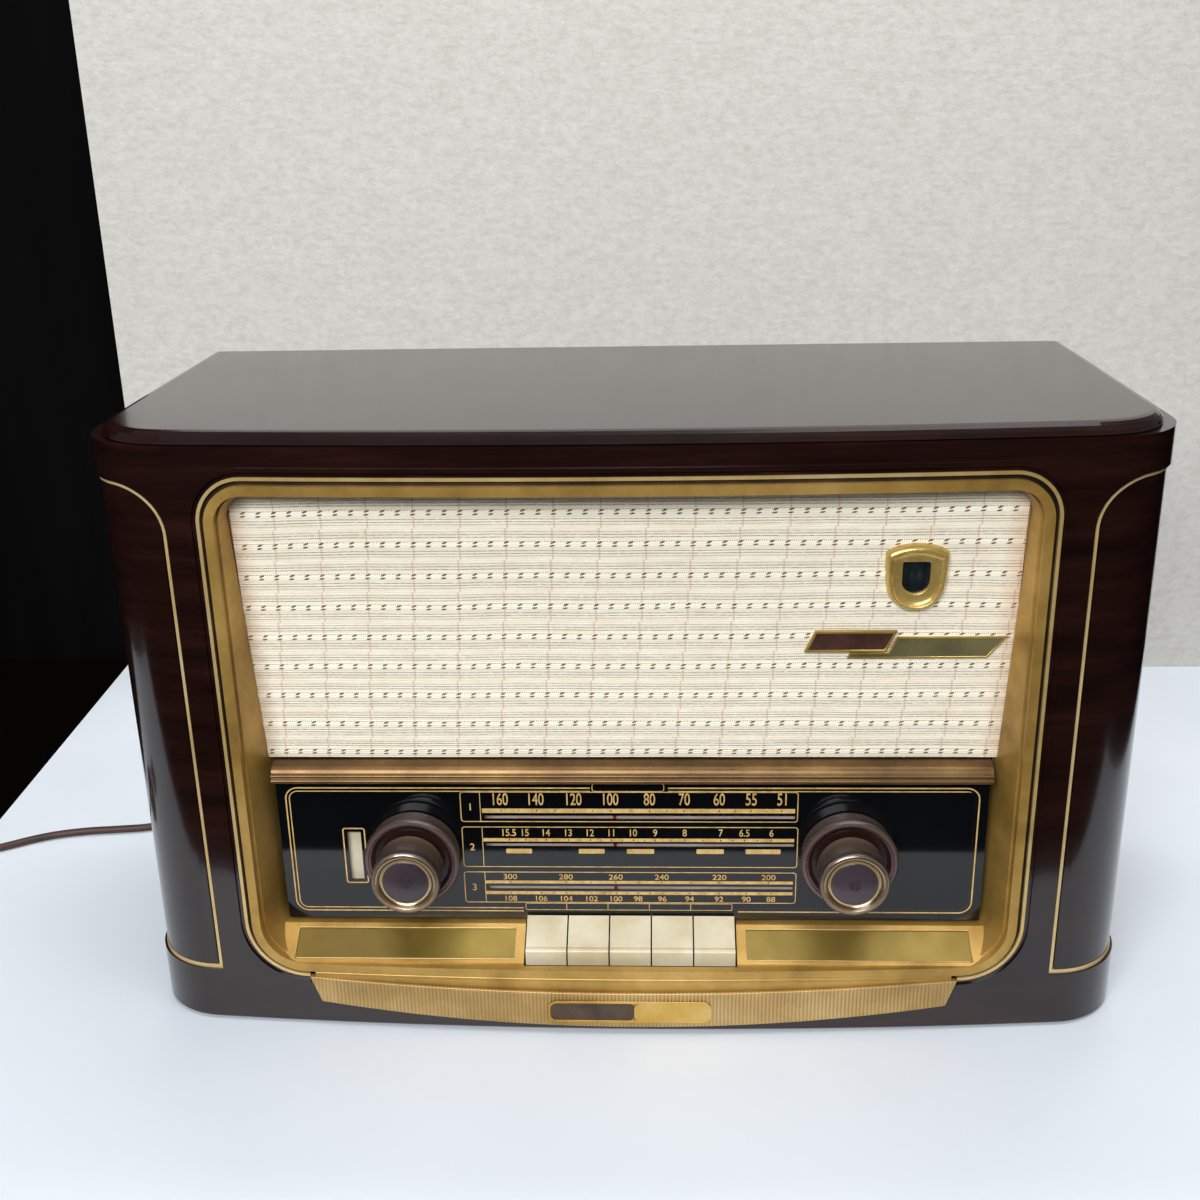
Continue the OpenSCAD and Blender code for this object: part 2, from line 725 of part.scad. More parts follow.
module tone_ring() {
  ring_knob(-1);
}

module aerial_ring() {
  ring_knob(1);
}

// Ivory key with a sloping face, rounded front edge and a lever to its pivot
module key(i) {
  x = (i - (key_n + 1) / 2) * key_pitch;
  fy = front_y + 5.6;
  color("#e2dac4") translate([x - key_w / 2, 0, 0]) rotate([90, 0, 90]) linear_extrude(key_w) {
    polygon([[fy, 38], [fy, 44.5], [fy + 2.6, 47.3], [glass_y - 1.6, 57], [glass_y - 0.8, 56.6], [glass_y - 0.8, 47.5],
      [fy + 8, 42.4], [fy + 3, 38]]);
    translate([fy + 2.4, 45.1]) circle(r = 2.4, $fn = 48);
  }
  color("#c8c0a8") difference() {
    union() {
      translate([x - 4, glass_y - 6, 44]) cube([8, key_y - glass_y + 6, 4]);
      translate([x - 4, key_y, key_pivot_z]) rotate([0, 90, 0]) cylinder(r = 4, h = 8, $fn = 48);
    }
    translate([x - 5, key_y, key_pivot_z]) rotate([0, 90, 0]) cylinder(r = key_rod_r + 0.1, h = 10, $fn = 48);
  }
}

module key_bracket() {
  hx = key_n * key_pitch / 2 + 4;
  color(steel) {
    translate([-hx, key_y, key_pivot_z]) rotate([0, 90, 0]) cylinder(r = key_rod_r, h = 2 * hx, $fn = 48);
    for (s = [-1, 1]) translate([s > 0 ? hx - 2 : -hx, key_y - 8, floor_z + 1.5]) cube([2, chassis_y0 - key_y + 8, 42]);
    translate([-hx, key_y - 8, floor_z]) cube([2 * hx, chassis_y0 - key_y + 8, 1.5]);
  }
}

module chassis() {
  z0 = floor_z + skirt_lift;
  color(steel) difference() {
    translate([-chassis_x, chassis_y0, z0]) cube([2 * chassis_x, chassis_d, chassis_z - z0]);
    translate([-chassis_x + sheet_t, chassis_y0 + sheet_t, z0 - 1])
      cube([2 * chassis_x - 2 * sheet_t, chassis_d - 2 * sheet_t, chassis_z - z0 + 1 - sheet_t]);
    translate([18, chassis_y0 + chassis_d - 5, 22]) cube([134, 10, 30]);
    translate([-150, chassis_y0 + chassis_d - 5, 26]) rotate([-90, 0, 0]) cylinder(r = 6, h = 10, $fn = 48);
  }
  for (s = [-1, 1]) color(steel) translate([s * knob_x - 9, scale_y + 12.5, floor_z]) difference() {
    cube([18, 2, knob_z + 12 - floor_z]);
    translate([9, -1, knob_z - floor_z]) rotate([-90, 0, 0]) cylinder(r = shaft_r + 0.3, h = 8, $fn = 32);
  }
  for (s = [-1, 1]) color(steel) translate([s * knob_x - 9, scale_y + 14.5, floor_z])
    cube([18, chassis_y0 - scale_y - 14.5, 2]);
}

valve_at = [[-165, -42], [-40, -30], [-28, -82], [40, -30], [60, -66]];

module valve(k) {
  p = valve_at[k];
  color("#c8d0d0") translate([p[0], chassis_y0 + chassis_d + p[1], chassis_z + 5]) rotate_extrude($fn = 64)
    polygon([[0, 0], [valve_d / 2, 0], [valve_d / 2, valve_h - 10], [valve_d / 2 - 2, valve_h - 5], [4, valve_h - 2], [1.5, valve_h],
      [0, valve_h + 2]]);
}

module valve_sockets() {
  color("#d8cfc0") for (p = valve_at) translate([p[0], chassis_y0 + chassis_d + p[1], chassis_z])
    cylinder(r = valve_d / 2 + 2.5, h = 4.7, $fn = 64);
}

module if_cans() {
  color("#b8bbbe") for (x = [78, 112]) translate([x, chassis_y0 + chassis_d - 44, chassis_z]) difference() {
    cube([26, 26, 60]);
    translate([13, 13, 55]) cylinder(r = 3, h = 10, $fn = 32);
  }
}

module mains_transformer() {
  y = chassis_y0 + chassis_d - 74;
  color("#6a5a50") translate([-140, y, chassis_z]) {
    cube([76, 60, 10]);
    translate([0, 0, 10]) cube([76, 60, 44]);
    translate([12, -9, 14]) cube([52, 78, 36]);
  }
}

module output_transformer() {
  color("#6a5a50") translate([148, chassis_y0 + 14, chassis_z]) {
    cube([34, 38, 34]);
    translate([5, -5, 5]) cube([24, 48, 24]);
  }
}

module smoothing_capacitor() {
  color("#b8bbbe") translate([-162, chassis_y0 + 22, chassis_z]) rotate_extrude($fn = 64)
    polygon([[0, 0], [17, 0], [17, 60], [15.5, 62], [0, 62]]);
}

gang_x = 20;
gang_y = chassis_y0 + 12;

module tuning_gang() {
  color(steel) translate([gang_x, gang_y, chassis_z]) {
    translate([-26, 0, 0]) cube([52, 2, 48]);
    translate([-26, 40, 0]) cube([52, 2, 48]);
    translate([-26, 0, 0]) cube([52, 42, 2]);
    for (k = [0 : 7]) translate([-24, 5 + k * 4.4, 2]) cube([48, 1, 20]);
  }
}

module gang_rotor() {
  color("#c0c4c8") translate([gang_x, 0, chassis_z + 26]) {
    translate([0, gang_y + 2.5, 0]) rotate([-90, 0, 0]) cylinder(r = 3, h = 37, $fn = 32);
    for (k = [0 : 6]) translate([0, gang_y + 7.2 + k * 4.4, 0]) rotate([-90, 0, 0]) intersection() {
      cylinder(r = 20, h = 1, $fn = 96);
      translate([-21, -21, -1]) cube([42, 24, 3]);
    }
  }
}

module speaker_frame() {
  h = baffle_h;
  y0 = cloth_t + baffle_t + 0.2;
  color("#55585a") on_baffle() translate([horn_x, y0, h / 2]) rotate([-90, 0, 0]) difference() {
    rotate_extrude($fn = 96) polygon([[horn_r - 9, 0], [horn_r, 0], [horn_r, 3], [horn_r - 6, 4], [34, 44], [34, 50], [20, 50],
      [20, 47], [31, 47], [31, 42], [horn_r - 10, 2.6]]);
    for (a = [0 : 60 : 359]) rotate([0, 0, a]) translate([36, -9, 8]) cube([30, 18, 30]);
  }
  color("#8a8d90") on_baffle() translate([horn_x, y0 + 49.9, h / 2]) rotate([-90, 0, 0]) rotate_extrude($fn = 64)
    polygon([[0, 0], [30, 0], [30, 5], [27, 8], [27, 22], [24, 24], [0, 24]]);
}

module speaker_cone() {
  h = baffle_h;
  y0 = cloth_t + baffle_t + 0.2;
  color("#3a342e") on_baffle() translate([horn_x, y0, h / 2]) rotate([-90, 0, 0]) rotate_extrude($fn = 96)
    polygon([[horn_r - 9.3, 0.3], [horn_r - 9.8, 1.3], [22, 41], [14, 43], [0, 38], [0, 37], [13, 41.5], [21, 39.5],
      [horn_r - 13, 1]]);
}

module tweeter() {
  h = baffle_h;
  y0 = cloth_t + baffle_t + 0.2;
  color("#55585a") on_baffle() translate([tweeter_x, y0, h / 2]) rotate([-90, 0, 0]) rotate_extrude($fn = 64)
    polygon([[0, 12], [6, 12], [tweeter_r - 5, 0], [tweeter_r, 0], [tweeter_r, 2.5], [tweeter_r - 4, 3], [13, 16], [13, 30],
      [0, 30]]);
}

ferrite_c = [150, back_y - 62, open_z1 - 25];

module ferrite_aerial() {
  color("#3a3a3c") translate(ferrite_c) {
    translate([-58, 0, 0]) rotate([0, 90, 0]) cylinder(r = 5, h = 116, $fn = 48);
    translate([0, 0, -22]) cylinder(r = 3, h = 18, $fn = 32);
  }
  color("#a0684a") translate(ferrite_c) for (x = [-46, 24]) translate([x, 0, 0]) rotate([0, 90, 0])
    cylinder(r = 7, h = 22, $fn = 48);
}

module aerial_bracket() {
  color(steel) translate(ferrite_c) {
    difference() {
      translate([-12, -12, -20]) cube([inner_x - ferrite_c[0] + 12 - fit_gap, 24, 2]);
      translate([0, 0, -21]) cylinder(r = 3.3, h = 4, $fn = 32);
    }
    translate([inner_x - ferrite_c[0] - fit_gap - 2, -12, -44]) cube([2, 24, 24]);
  }
}

// Rear strip with the aerial, earth, pick-up and extension sockets
module socket_strip() {
  y = chassis_y0 + chassis_d - sheet_t - 0.1;
  color("#5a3a24") difference() {
    translate([22, y, 25]) cube([126, 5, 24]);
    for (x = [34, 53, 75, 94, 117, 136]) translate([x, y - 2, 37]) rotate([-90, 0, 0]) cylinder(r = 2.05, h = 10, $fn = 48);
  }
  color(steel) difference() {
    translate([16, y - 2, 21]) cube([138, 2, 32]);
    for (x = [34, 53, 75, 94, 117, 136]) translate([x, y - 4, 37]) rotate([-90, 0, 0]) cylinder(r = 5, h = 10, $fn = 48);
  }
}

// Points of the mains lead on the table, from the strain relief to the coil
run_pts = [[-150, 143.3, 26], [-150, 153, 25.6], [-151, 164, 22.6], [-155, 175, 16.6], [-162, 185, 9.6],
  [-172, 193, 4.6], [-186, 198, 2.6], [-203, 199, 2.5], [-222, 196, 2.5], [-243, 188, 2.5], [-264, 176, 2.5],
  [-285, 157, 2.5], [-303, 136, 2.5], [-319, 119, 2.5], [-337, 109, 2.5], [-357, 105.5, 2.5], [-377, 103, 2.5],
  [-396, 98.5, 2.5], [-412, 91.5, 2.5], [-430, 80.5, 2.5], [-446, 73, 2.5], [-465, 68, 2.5], [-477, 66.8, 2.5],
  [-482.7, 66.8, 2.5]];

module strain_relief() {
  color("#1c1a1a") translate([-150, back_y - 4, 26]) rotate([-90, 0, 0]) rotate_extrude($fn = 48)
    polygon([[0, -8], [5.6, -8], [5.6, 0.4], [8, 0.4], [8, 2.4], [5.2, 3], [3.4, 32], [0, 32]]);
}

// Tube swept along points, n sides, flat ends
module tube(pts, r, n) {
  m = len(pts);
  dirs = [for (i = [0 : m - 1]) let (a = pts[max(i - 1, 0)], b = pts[min(i + 1, m - 1)]) (b - a) / norm(b - a)];
  rings = [for (i = [0 : m - 1]) let (d = dirs[i], s = cross([0, 0, 1], d) / norm(cross([0, 0, 1], d)), u = cross(d, s))
    for (k = [0 : n - 1]) pts[i] + r * (cos((k + 0.5) * 360 / n) * s + sin((k + 0.5) * 360 / n) * u)];
  side = [for (i = [0 : m - 2], k = [0 : n - 1]) let (a = i * n + k, b = i * n + (k + 1) % n)
    each [[a, b + n, b], [a, a + n, b + n]]];
  cap0 = [for (k = [1 : n - 2]) [0, k, k + 1]];
  cap1 = [for (k = [1 : n - 2]) [(m - 1) * n, (m - 1) * n + k + 1, (m - 1) * n + k]];
  polyhedron(points = rings, faces = concat(side, cap0, cap1));
}

function smooth(pts, k) = [for (i = [0 : len(pts) - 2]) let (p0 = pts[max(i - 1, 0)], p1 = pts[i], p2 = pts[i + 1],
  p3 = pts[min(i + 2, len(pts) - 1)]) for (j = [0 : k - 1]) let (t = j / k)
  0.5 * (2 * p1 + (p2 - p0) * t + (2 * p0 - 5 * p1 + 4 * p2 - p3) * t * t + (3 * p1 - p0 - 3 * p2 + p3) * t * t * t),
  pts[len(pts) - 1]];

module cord_run() {
  color("#4a2a22") {
    tube(smooth(run_pts, 3), cord_d / 2, 8);
    tube(smooth(tail_pts, 2), cord_d / 2, 8);
  }
}

// Middle line of the coil: two layers, wound in and out again, t counts turns
climb_t = 0.5;
coil_t1 = coil_turns + climb_t / 2;
coil_end = 2 * coil_turns + climb_t - 0.25;
coil_z0 = cord_d / 2;
coil_z1 = coil_z0 + cord_d + 0.6;
function coil_rad(t) = coil_r - climb_t / 2 * coil_step + abs(coil_t1 - t) * coil_step;
function coil_lift(t) = coil_z0 + (coil_z1 - coil_z0) * min(1, max(0, (t - coil_turns) / climb_t));
function coil_pt(t) = [coil_c[0] + coil_rad(t) * cos(90 + 360 * t), coil_c[1] + coil_rad(t) * sin(90 + 360 * t), coil_lift(t)];
coil_pts = concat([coil_pt(0) + [0.4 * cord_d, 0, 0]], [for (k = [0 : coil_end * 24]) coil_pt(k / 24)],
  [coil_pt(coil_end) + [0, -cord_d, 0]]);
tail_p = coil_pts[len(coil_pts) - 1];
tail_pts = [tail_p, tail_p + [0, -6, 0.1], tail_p + [0, -14, 1], tail_p + [0, -22, plug_r - coil_z1 - 0.8],
  tail_p + [0, -30, plug_r - coil_z1], tail_p + [0, -36, plug_r - coil_z1]];
plug_p = tail_pts[len(tail_pts) - 1];

function path_len(p) = len(p) < 2 ? 0 : [for (i = 0, s = 0; i < len(p); s = s + (i < len(p) - 1 ? norm(p[i + 1] - p[i]) : 0), i = i + 1) s][len(p) - 1];
coil_gap = min([for (i = [0 : 2 : len(coil_pts) - 1], j = [i + 14 : len(coil_pts) - 1]) norm(coil_pts[i] - coil_pts[j])]) - cord_d;
echo(coil_gap = coil_gap, cord_length = path_len(run_pts) + path_len(coil_pts) + path_len(tail_pts));

module cord_coil() {
  color("#4a2a22") tube(coil_pts, cord_d / 2, 6);
}

module plug_body() {
  color("#1c1a1a") translate(plug_p) rotate([90, 0, 0]) rotate_extrude($fn = 64)
    polygon([[0, 0], [4, 0], [5, 2], [5.6, 9], [8.5, 13], [11, 20], [plug_r - 0.1, 27], [plug_r - 0.1, 36], [11, 38], [0, 38]]);
}

module plug_pins() {
  color(brass) translate(plug_p) rotate([90, 0, 0]) for (s = [-1, 1]) translate([s * 6.5, 0, 38])
    rotate_extrude($fn = 32) polygon([[0, 0], [2.4, 0], [2.4, 17.5], [1.2, 19], [0, 19]]);
}

top_board();
side_left();
side_right();
front_panel();
bottom_board();
feet();
back_cover();
back_battens();
cover_screws();
inlay_left();
inlay_right();
trim_ring();
groove_ring();
bezel();
divider_moulding();
trim_strip();
baffle_board();
grille_cloth();
eye_escutcheon();
magic_eye();
dial_glass();
scale_panel();
pointer_rail();
dial_pointer();
dial_cord();
tone_flag();
volume_knob();
tone_ring();
tuning_knob();
aerial_ring();
for (i = [1 : key_n]) key(i);
key_bracket();
chassis();
valve_sockets();
for (i = [1 : 5]) valve(i - 1);
if_cans();
mains_transformer();
output_transformer();
smoothing_capacitor();
tuning_gang();
gang_rotor();
speaker_frame();
speaker_cone();
tweeter();
ferrite_aerial();
aerial_bracket();
socket_strip();
strain_relief();
cord_run();
cord_coil();
plug_body();
plug_pins();
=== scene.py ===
import math
from functools import partial

import bmesh
import bpy
import numpy as np
from mathutils import Matrix, Vector


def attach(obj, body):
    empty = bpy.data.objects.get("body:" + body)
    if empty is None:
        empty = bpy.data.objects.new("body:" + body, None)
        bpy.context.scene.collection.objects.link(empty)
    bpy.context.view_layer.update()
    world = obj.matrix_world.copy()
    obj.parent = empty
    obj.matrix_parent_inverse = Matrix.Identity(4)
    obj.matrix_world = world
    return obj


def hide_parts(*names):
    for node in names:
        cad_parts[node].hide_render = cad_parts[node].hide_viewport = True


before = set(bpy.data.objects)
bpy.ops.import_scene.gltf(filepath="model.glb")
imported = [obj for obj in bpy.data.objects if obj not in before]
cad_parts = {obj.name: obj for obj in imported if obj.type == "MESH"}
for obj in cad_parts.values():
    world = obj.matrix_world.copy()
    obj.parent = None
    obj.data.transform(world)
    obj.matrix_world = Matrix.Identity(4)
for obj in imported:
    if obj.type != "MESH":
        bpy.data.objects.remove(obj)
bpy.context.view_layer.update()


# sRGB hex to the linear values that a socket takes
def lin(hexText):
    out = []
    for k in (0, 2, 4):
        c = int(hexText.lstrip("#")[k:k + 2], 16) / 255
        out.append(c / 12.92 if c <= 0.04045 else ((c + 0.055) / 1.055) ** 2.4)
    return (*out, 1.0)


# Adds one node. A kind in capitals is an operation of the Math node. Sockets come in order, by number in a
# dictionary, or by name with a capital; settings have small letters; a ramp takes (place, hex) stops.
def addNode(mat, kind, *ordered, out=0, stops=(), **named):
    if kind.isupper():
        kind, named["operation"] = "Math", kind
    node = mat.node_tree.nodes.new("ShaderNode" + kind)
    wired = dict(ordered[0]) if ordered and isinstance(ordered[0], dict) else dict(enumerate(ordered))
    for key, value in named.items():
        if key[0].isupper():
            wired[key] = value
        else:
            setattr(node, key, value)
    for key, value in wired.items():
        if isinstance(value, bpy.types.NodeSocket):
            mat.node_tree.links.new(value, node.inputs[key])
        else:
            node.inputs[key].default_value = value
    if stops:
        marks = node.color_ramp.elements
        while len(marks) < len(stops):
            marks.new(0.5)
        for mark, (place, color) in zip(marks, stops):
            mark.position = place
            mark.color = lin(color)
    return node.outputs[out]


# A Principled material named for its finish, with its uniform values on the sockets
def newMat(name, **sockets):
    mat = bpy.data.materials.new(name)
    mat.use_nodes = True
    for key, value in sockets.items():
        mat.node_tree.nodes["Principled BSDF"].inputs[key.replace("_", " ")].default_value = value
    return mat


# Links patterns to the material's inputs of the same names
def feed(mat, **sockets):
    for key, value in sockets.items():
        mat.node_tree.links.new(value, mat.node_tree.nodes["Principled BSDF"].inputs[key.replace("_", " ")])


# The pattern that a finish already has as its colour
def toneOf(mat):
    return mat.node_tree.nodes["Principled BSDF"].inputs["Base Color"].links[0].from_socket


# Finish out of noise, each pattern as (scale, detail, roughness, stretch): the first gives patches of tone, the
# second the roughness as (share, least), the last the relief as (strength, depth in m) and a dust of (share, hex)
def noiseFinish(name, tones, patterns, polish=None, relief=None, dust=None, **sockets):
    mat = newMat(name, **sockets)
    at = addNode(mat, "TexCoord", out="Object")
    noises = []
    for scale, detail, rough, *stretch in patterns:
        along = addNode(mat, "Mapping", Vector=at, Scale=stretch[0]) if stretch else at
        noises.append(addNode(mat, "TexNoise", Vector=along, Scale=scale, Detail=detail, Roughness=rough))
    tone = addNode(mat, "ValToRGB", noises[0], stops=tones)
    if dust:
        mask = addNode(mat, "MULTIPLY", noises[-1], dust[0])
        tone = addNode(mat, "Mix", {0: mask, 6: tone, 7: lin(dust[1])}, out=2, data_type="RGBA")
    feed(mat, Base_Color=tone)
    if polish:
        feed(mat, Roughness=addNode(mat, "MULTIPLY_ADD", noises[1], *polish))
    if relief:
        feed(mat, Normal=addNode(mat, "Bump", Height=noises[-1], Strength=relief[0], Distance=relief[1]))
    return mat


def paint(mat, *names):
    for name in names:
        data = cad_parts[name].data
        data.materials.clear()
        data.materials.append(mat)


# Puts a finished mesh in the scene as a piece of one material that rides a body
def addPiece(name, mesh, mat, body="cabinet", slot=None):
    mesh.name = name
    mesh.materials.clear()
    mesh.materials.append(mat)
    ob = bpy.data.objects.new(name, mesh)
    bpy.context.scene.collection.objects.link(ob)
    if body:
        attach(ob, body)
    return ob


def meshPiece(name, verts, faces, mat, smooth=True, **kw):
    mesh = bpy.data.meshes.new(name)
    mesh.from_pydata(np.asarray(verts, float).tolist(), [], [tuple(int(i) for i in f) for f in faces])
    mesh.update()
    if smooth:
        mesh.polygons.foreach_set("use_smooth", [True] * len(mesh.polygons))
    return addPiece(name, mesh, mat, **kw)


# Quads between neighbours of an n by m grid of points, joined back to the start where it closes
def gridFaces(n, m, closeN=False, closeM=False, base=0):
    a = np.arange(n * m).reshape(n, m) + base
    if closeN:
        a = np.vstack([a, a[:1]])
    if closeM:
        a = np.hstack([a, a[:, :1]])
    return np.stack([a[:-1, :-1], a[:-1, 1:], a[1:, 1:], a[1:, :-1]], axis=-1).reshape(-1, 4)


def gridPiece(name, pts, mat, closeN=False, closeM=False, **kw):
    n, m = pts.shape[:2]
    return meshPiece(name, pts.reshape(-1, 3), gridFaces(n, m, closeN, closeM), mat, **kw)


# One mesh out of several: their points one after the other, their faces counted on
def joinedPiece(name, parts, mat, **kw):
    starts = np.cumsum([0] + [len(pts) for pts, _ in parts])
    faces = [tuple(i + start for i in f) for start, (_, own) in zip(starts, parts) for f in own]
    return meshPiece(name, np.vstack([pts for pts, _ in parts]), faces, mat, **kw)


# Turned form about Y: each (radius, height) of the profile goes round its centre
def turned(profile, center, steps=96):
    r, h = np.array(profile, float).T[:, None, :]
    t = np.linspace(0, 2 * np.pi, steps, endpoint=False)[:, None]
    return np.stack([r * np.cos(t), np.repeat(h, steps, axis=0), r * np.sin(t)], axis=-1) + np.array(center, float)


# Points at even steps along a line, by its running length
def resample(pts, step):
    p = np.array(pts, float)
    run = np.r_[0, np.cumsum(np.linalg.norm(np.diff(p, axis=0), axis=1))]
    t = np.linspace(0, run[-1], max(2, int(round(run[-1] / step)) + 1))
    return np.stack([np.interp(t, run, p[:, k]) for k in range(3)], axis=-1)


# Round tube: at each point of the path a circle across it, level side first, then up
def tubePts(path, radius, sides=12):
    p = np.array(path, float)
    ahead = np.gradient(p, axis=0)
    ahead /= np.linalg.norm(ahead, axis=1)[:, None]
    side = np.cross(np.tile([0.0, 0, 1], (len(p), 1)), ahead)
    upright = np.linalg.norm(side, axis=1) < 1e-3  # the path runs straight up here
    side[upright] = np.cross([1.0, 0, 0], ahead[upright])
    side /= np.linalg.norm(side, axis=1)[:, None]
    up = np.cross(ahead, side)
    t = np.linspace(0, 2 * np.pi, sides, endpoint=False)[None, :, None]
    return p[:, None] + radius * (np.cos(t) * side[:, None] + np.sin(t) * up[:, None])


# Smooth line through points: the cubic of each span leaves b along c - a and meets c along d - b
def throughPoints(pts, k):
    p = np.array(pts, float)
    ends = np.vstack([p[:1], p[:-2]]), p[:-1], p[1:], np.vstack([p[2:], p[-1:]])
    a, b, c, d = (q[:, None] for q in ends)
    t = (np.arange(k) / k)[None, :, None]
    spans = 0.5 * (2 * b + (c - a) * t + (2 * a - 5 * b + 4 * c - d) * t * t + (3 * b - a - 3 * c + d) * t ** 3)
    return np.vstack([spans.reshape(-1, 3), p[-1:]])


# Rounded rectangle in mm: a quarter circle of n steps at each corner
def roundLoop(x0, z0, x1, z1, r, n=8):
    corners = ((x1 - r, z0 + r, -90), (x1 - r, z1 - r, 0), (x0 + r, z1 - r, 90), (x0 + r, z0 + r, 180))
    turns = [np.radians(start + 90 * np.arange(n + 1) / n) for _, _, start in corners]
    return np.vstack([np.c_[cx + r * np.cos(a), cz + r * np.sin(a)] for (cx, cz, _), a in zip(corners, turns)])


def boxLoop(x0, z0, x1, z1):
    return np.array([(x0, z0), (x1, z0), (x1, z1), (x0, z1)], float)


def discLoop(x, z, r, n=64):
    a = 2 * math.pi * np.arange(n) / n
    return np.c_[x + r * np.cos(a), z + r * np.sin(a)]


print("stage helpers")

# Camera fitted to the photo: 42 mm lens, 0.74 m in front of the set and 0.48 m up, looking down 20 degrees
view = {"at": (0.017944, -0.7408, 0.48078), "yaw": 0.047, "pitch": 0.352, "roll": -0.021, "lens": 42.29, "sensor": 36}
camData = bpy.data.cameras.new("viewCamera")
camOb = bpy.data.objects.new("viewCamera", camData)
bpy.context.scene.collection.objects.link(camOb)
bpy.context.scene.camera = camOb
level = math.cos(view["pitch"])
lookDir = Vector((-math.sin(view["yaw"]) * level, math.cos(view["yaw"]) * level, -math.sin(view["pitch"])))
rightDir = Vector((math.cos(view["yaw"]), math.sin(view["yaw"]), 0))
upDir = rightDir.cross(lookDir)
camRight = math.cos(view["roll"]) * rightDir + math.sin(view["roll"]) * upDir
camUp = -math.sin(view["roll"]) * rightDir + math.cos(view["roll"]) * upDir
camMatrix = Matrix((camRight, camUp, -lookDir)).transposed().to_4x4()
camMatrix.translation = Vector(view["at"])
camOb.matrix_world = camMatrix
camData.sensor_width = view["sensor"]
camData.lens = view["lens"]
camData.clip_start, camData.clip_end = 0.01, 50
bpy.context.scene.view_settings.view_transform = "Standard"

# Mains lead of 5 mm and 1.82 m, in mm: the run from the back to the coil, then two layers of coil and the tail
leadRun = [(-150, 143.3, 26), (-150, 153, 25.6), (-151, 164, 22.6), (-155, 175, 16.6), (-162, 185, 9.6),
           (-172, 193, 4.6), (-186, 197.9, 2.6), (-203, 198.75, 2.5), (-222, 195.9, 2.5), (-243, 188, 2.5),
           (-264, 176, 2.5), (-285, 157, 2.5), (-303, 136, 2.5), (-319, 119, 2.5), (-337, 109, 2.5),
           (-357, 105.5, 2.5), (-377, 103, 2.5), (-396, 98.5, 2.5), (-412, 91.5, 2.5), (-430, 80.5, 2.5),
           (-446, 73, 2.5), (-465, 68, 2.5), (-480, 66.8, 2.5), (-485, 66.8, 2.5)]
leadTail = [(0, 0, 0), (0, -6, 0.1), (0, -14, 1), (0, -22, 3.1), (0, -30, 3.9), (0, -36, 3.9)]
leadLay = {
    "thick": 5.0,
    "coilX": -485, "coilY": 28,
    "inner": 16, "step": 5.7,  # smallest radius, and what each turn adds
    "low": 2.5, "high": 8.1,  # heights of the two layers
    "turnsLow": 4, "turnsClimb": 0.5, "turnsAll": 8.25,
    "perTurn": 24,  # points to a turn
}


# Coil of two layers: the radius falls with each turn, the lead climbs one layer, and the radius grows again
def coilPath(t, lay=leadLay):
    half = lay["turnsClimb"] / 2
    r = lay["inner"] - half * lay["step"] + np.abs(lay["turnsLow"] + half - t) * lay["step"]
    z = lay["low"] + (lay["high"] - lay["low"]) * np.clip((t - lay["turnsLow"]) / lay["turnsClimb"], 0, 1)
    a = np.radians(90 + 360 * t)
    return np.stack([lay["coilX"] + r * np.cos(a), lay["coilY"] + r * np.sin(a), z], axis=-1)


coilPts = coilPath(np.arange(int(leadLay["turnsAll"] * leadLay["perTurn"]) + 1) / leadLay["perTurn"])
tailPts = coilPts[-1] + (0, -leadLay["thick"], 0) + np.array(leadTail)
leadPath = np.vstack([throughPoints(leadRun, 4)[:-1], coilPts, throughPoints(tailPts, 3)]) / 1000
leadPath = throughPoints(resample(leadPath, 0.006), 3)

# Extruded brown rubber, half matt, with a fine skin
rubberMat = noiseFinish("leadRubber", [(0.3, "#2b1713"), (0.7, "#43251d")], [(60, 4, 0.55), (900, 2, 0.55)],
                        relief=(0.25, 0.0002), Roughness=0.52)
leadTube = tubePts(leadPath, leadLay["thick"] / 2000, 14)
lead = gridPiece("mains_lead", leadTube, rubberMat, closeM=True, slot="cord_sheath")
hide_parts("cord_run", "cord_coil")
print("stage lead")

# Dark red-brown lacquer over veneer: deep gloss, faint figure along X, light orange peel of about 3 mm
lacquerMat = noiseFinish("lacquer", [(0.3, "#120806"), (0.55, "#1e0e0b"), (0.8, "#2d1611")],
                         [(9, 6, 0.62, (1.2, 6, 14)), (14, 4, 0.55), (300, 2, 0.55)], (0.14, 0.08), (0.08, 0.0003),
                         Roughness=0.16, Coat_Weight=0.28, Coat_Roughness=0.06)
paint(lacquerMat, "top_board", "side_left", "side_right", "front_panel")


# Gold of sprayed or plated trim: cloudy in 45 mm patches, dusty in 2 mm specks, worn smooth in 10 mm ones
def goldFinish(name, light, mid, dark, rough, metal=0.75):
    patterns = [(22, 5, 0.6), (90, 4, 0.55), (420, 3, 0.55)]
    return noiseFinish(name, [(0.3, dark), (0.5, mid), (0.72, light)], patterns, (0.22, rough - 0.1), (0.12, 0.0002),
                       (0.25, dark), Metallic=metal, Roughness=rough)


# Moulded or painted finish: two close tones in patches, a little polish by handling, a fine skin
def plainFinish(name, light, dark, rough, metal=0.0, grain=40, fine=600, bump=0.15, stretch=(1, 1, 1)):
    patterns = [(grain, 5, 0.6, stretch), (grain * 2.3, 4, 0.55, stretch), (fine, 3, 0.55, stretch)]
    return noiseFinish(name, [(0.3, dark), (0.7, light)], patterns, (0.16, max(0.02, rough - 0.08)), (bump, 0.0002),
                       Metallic=metal, Roughness=rough)


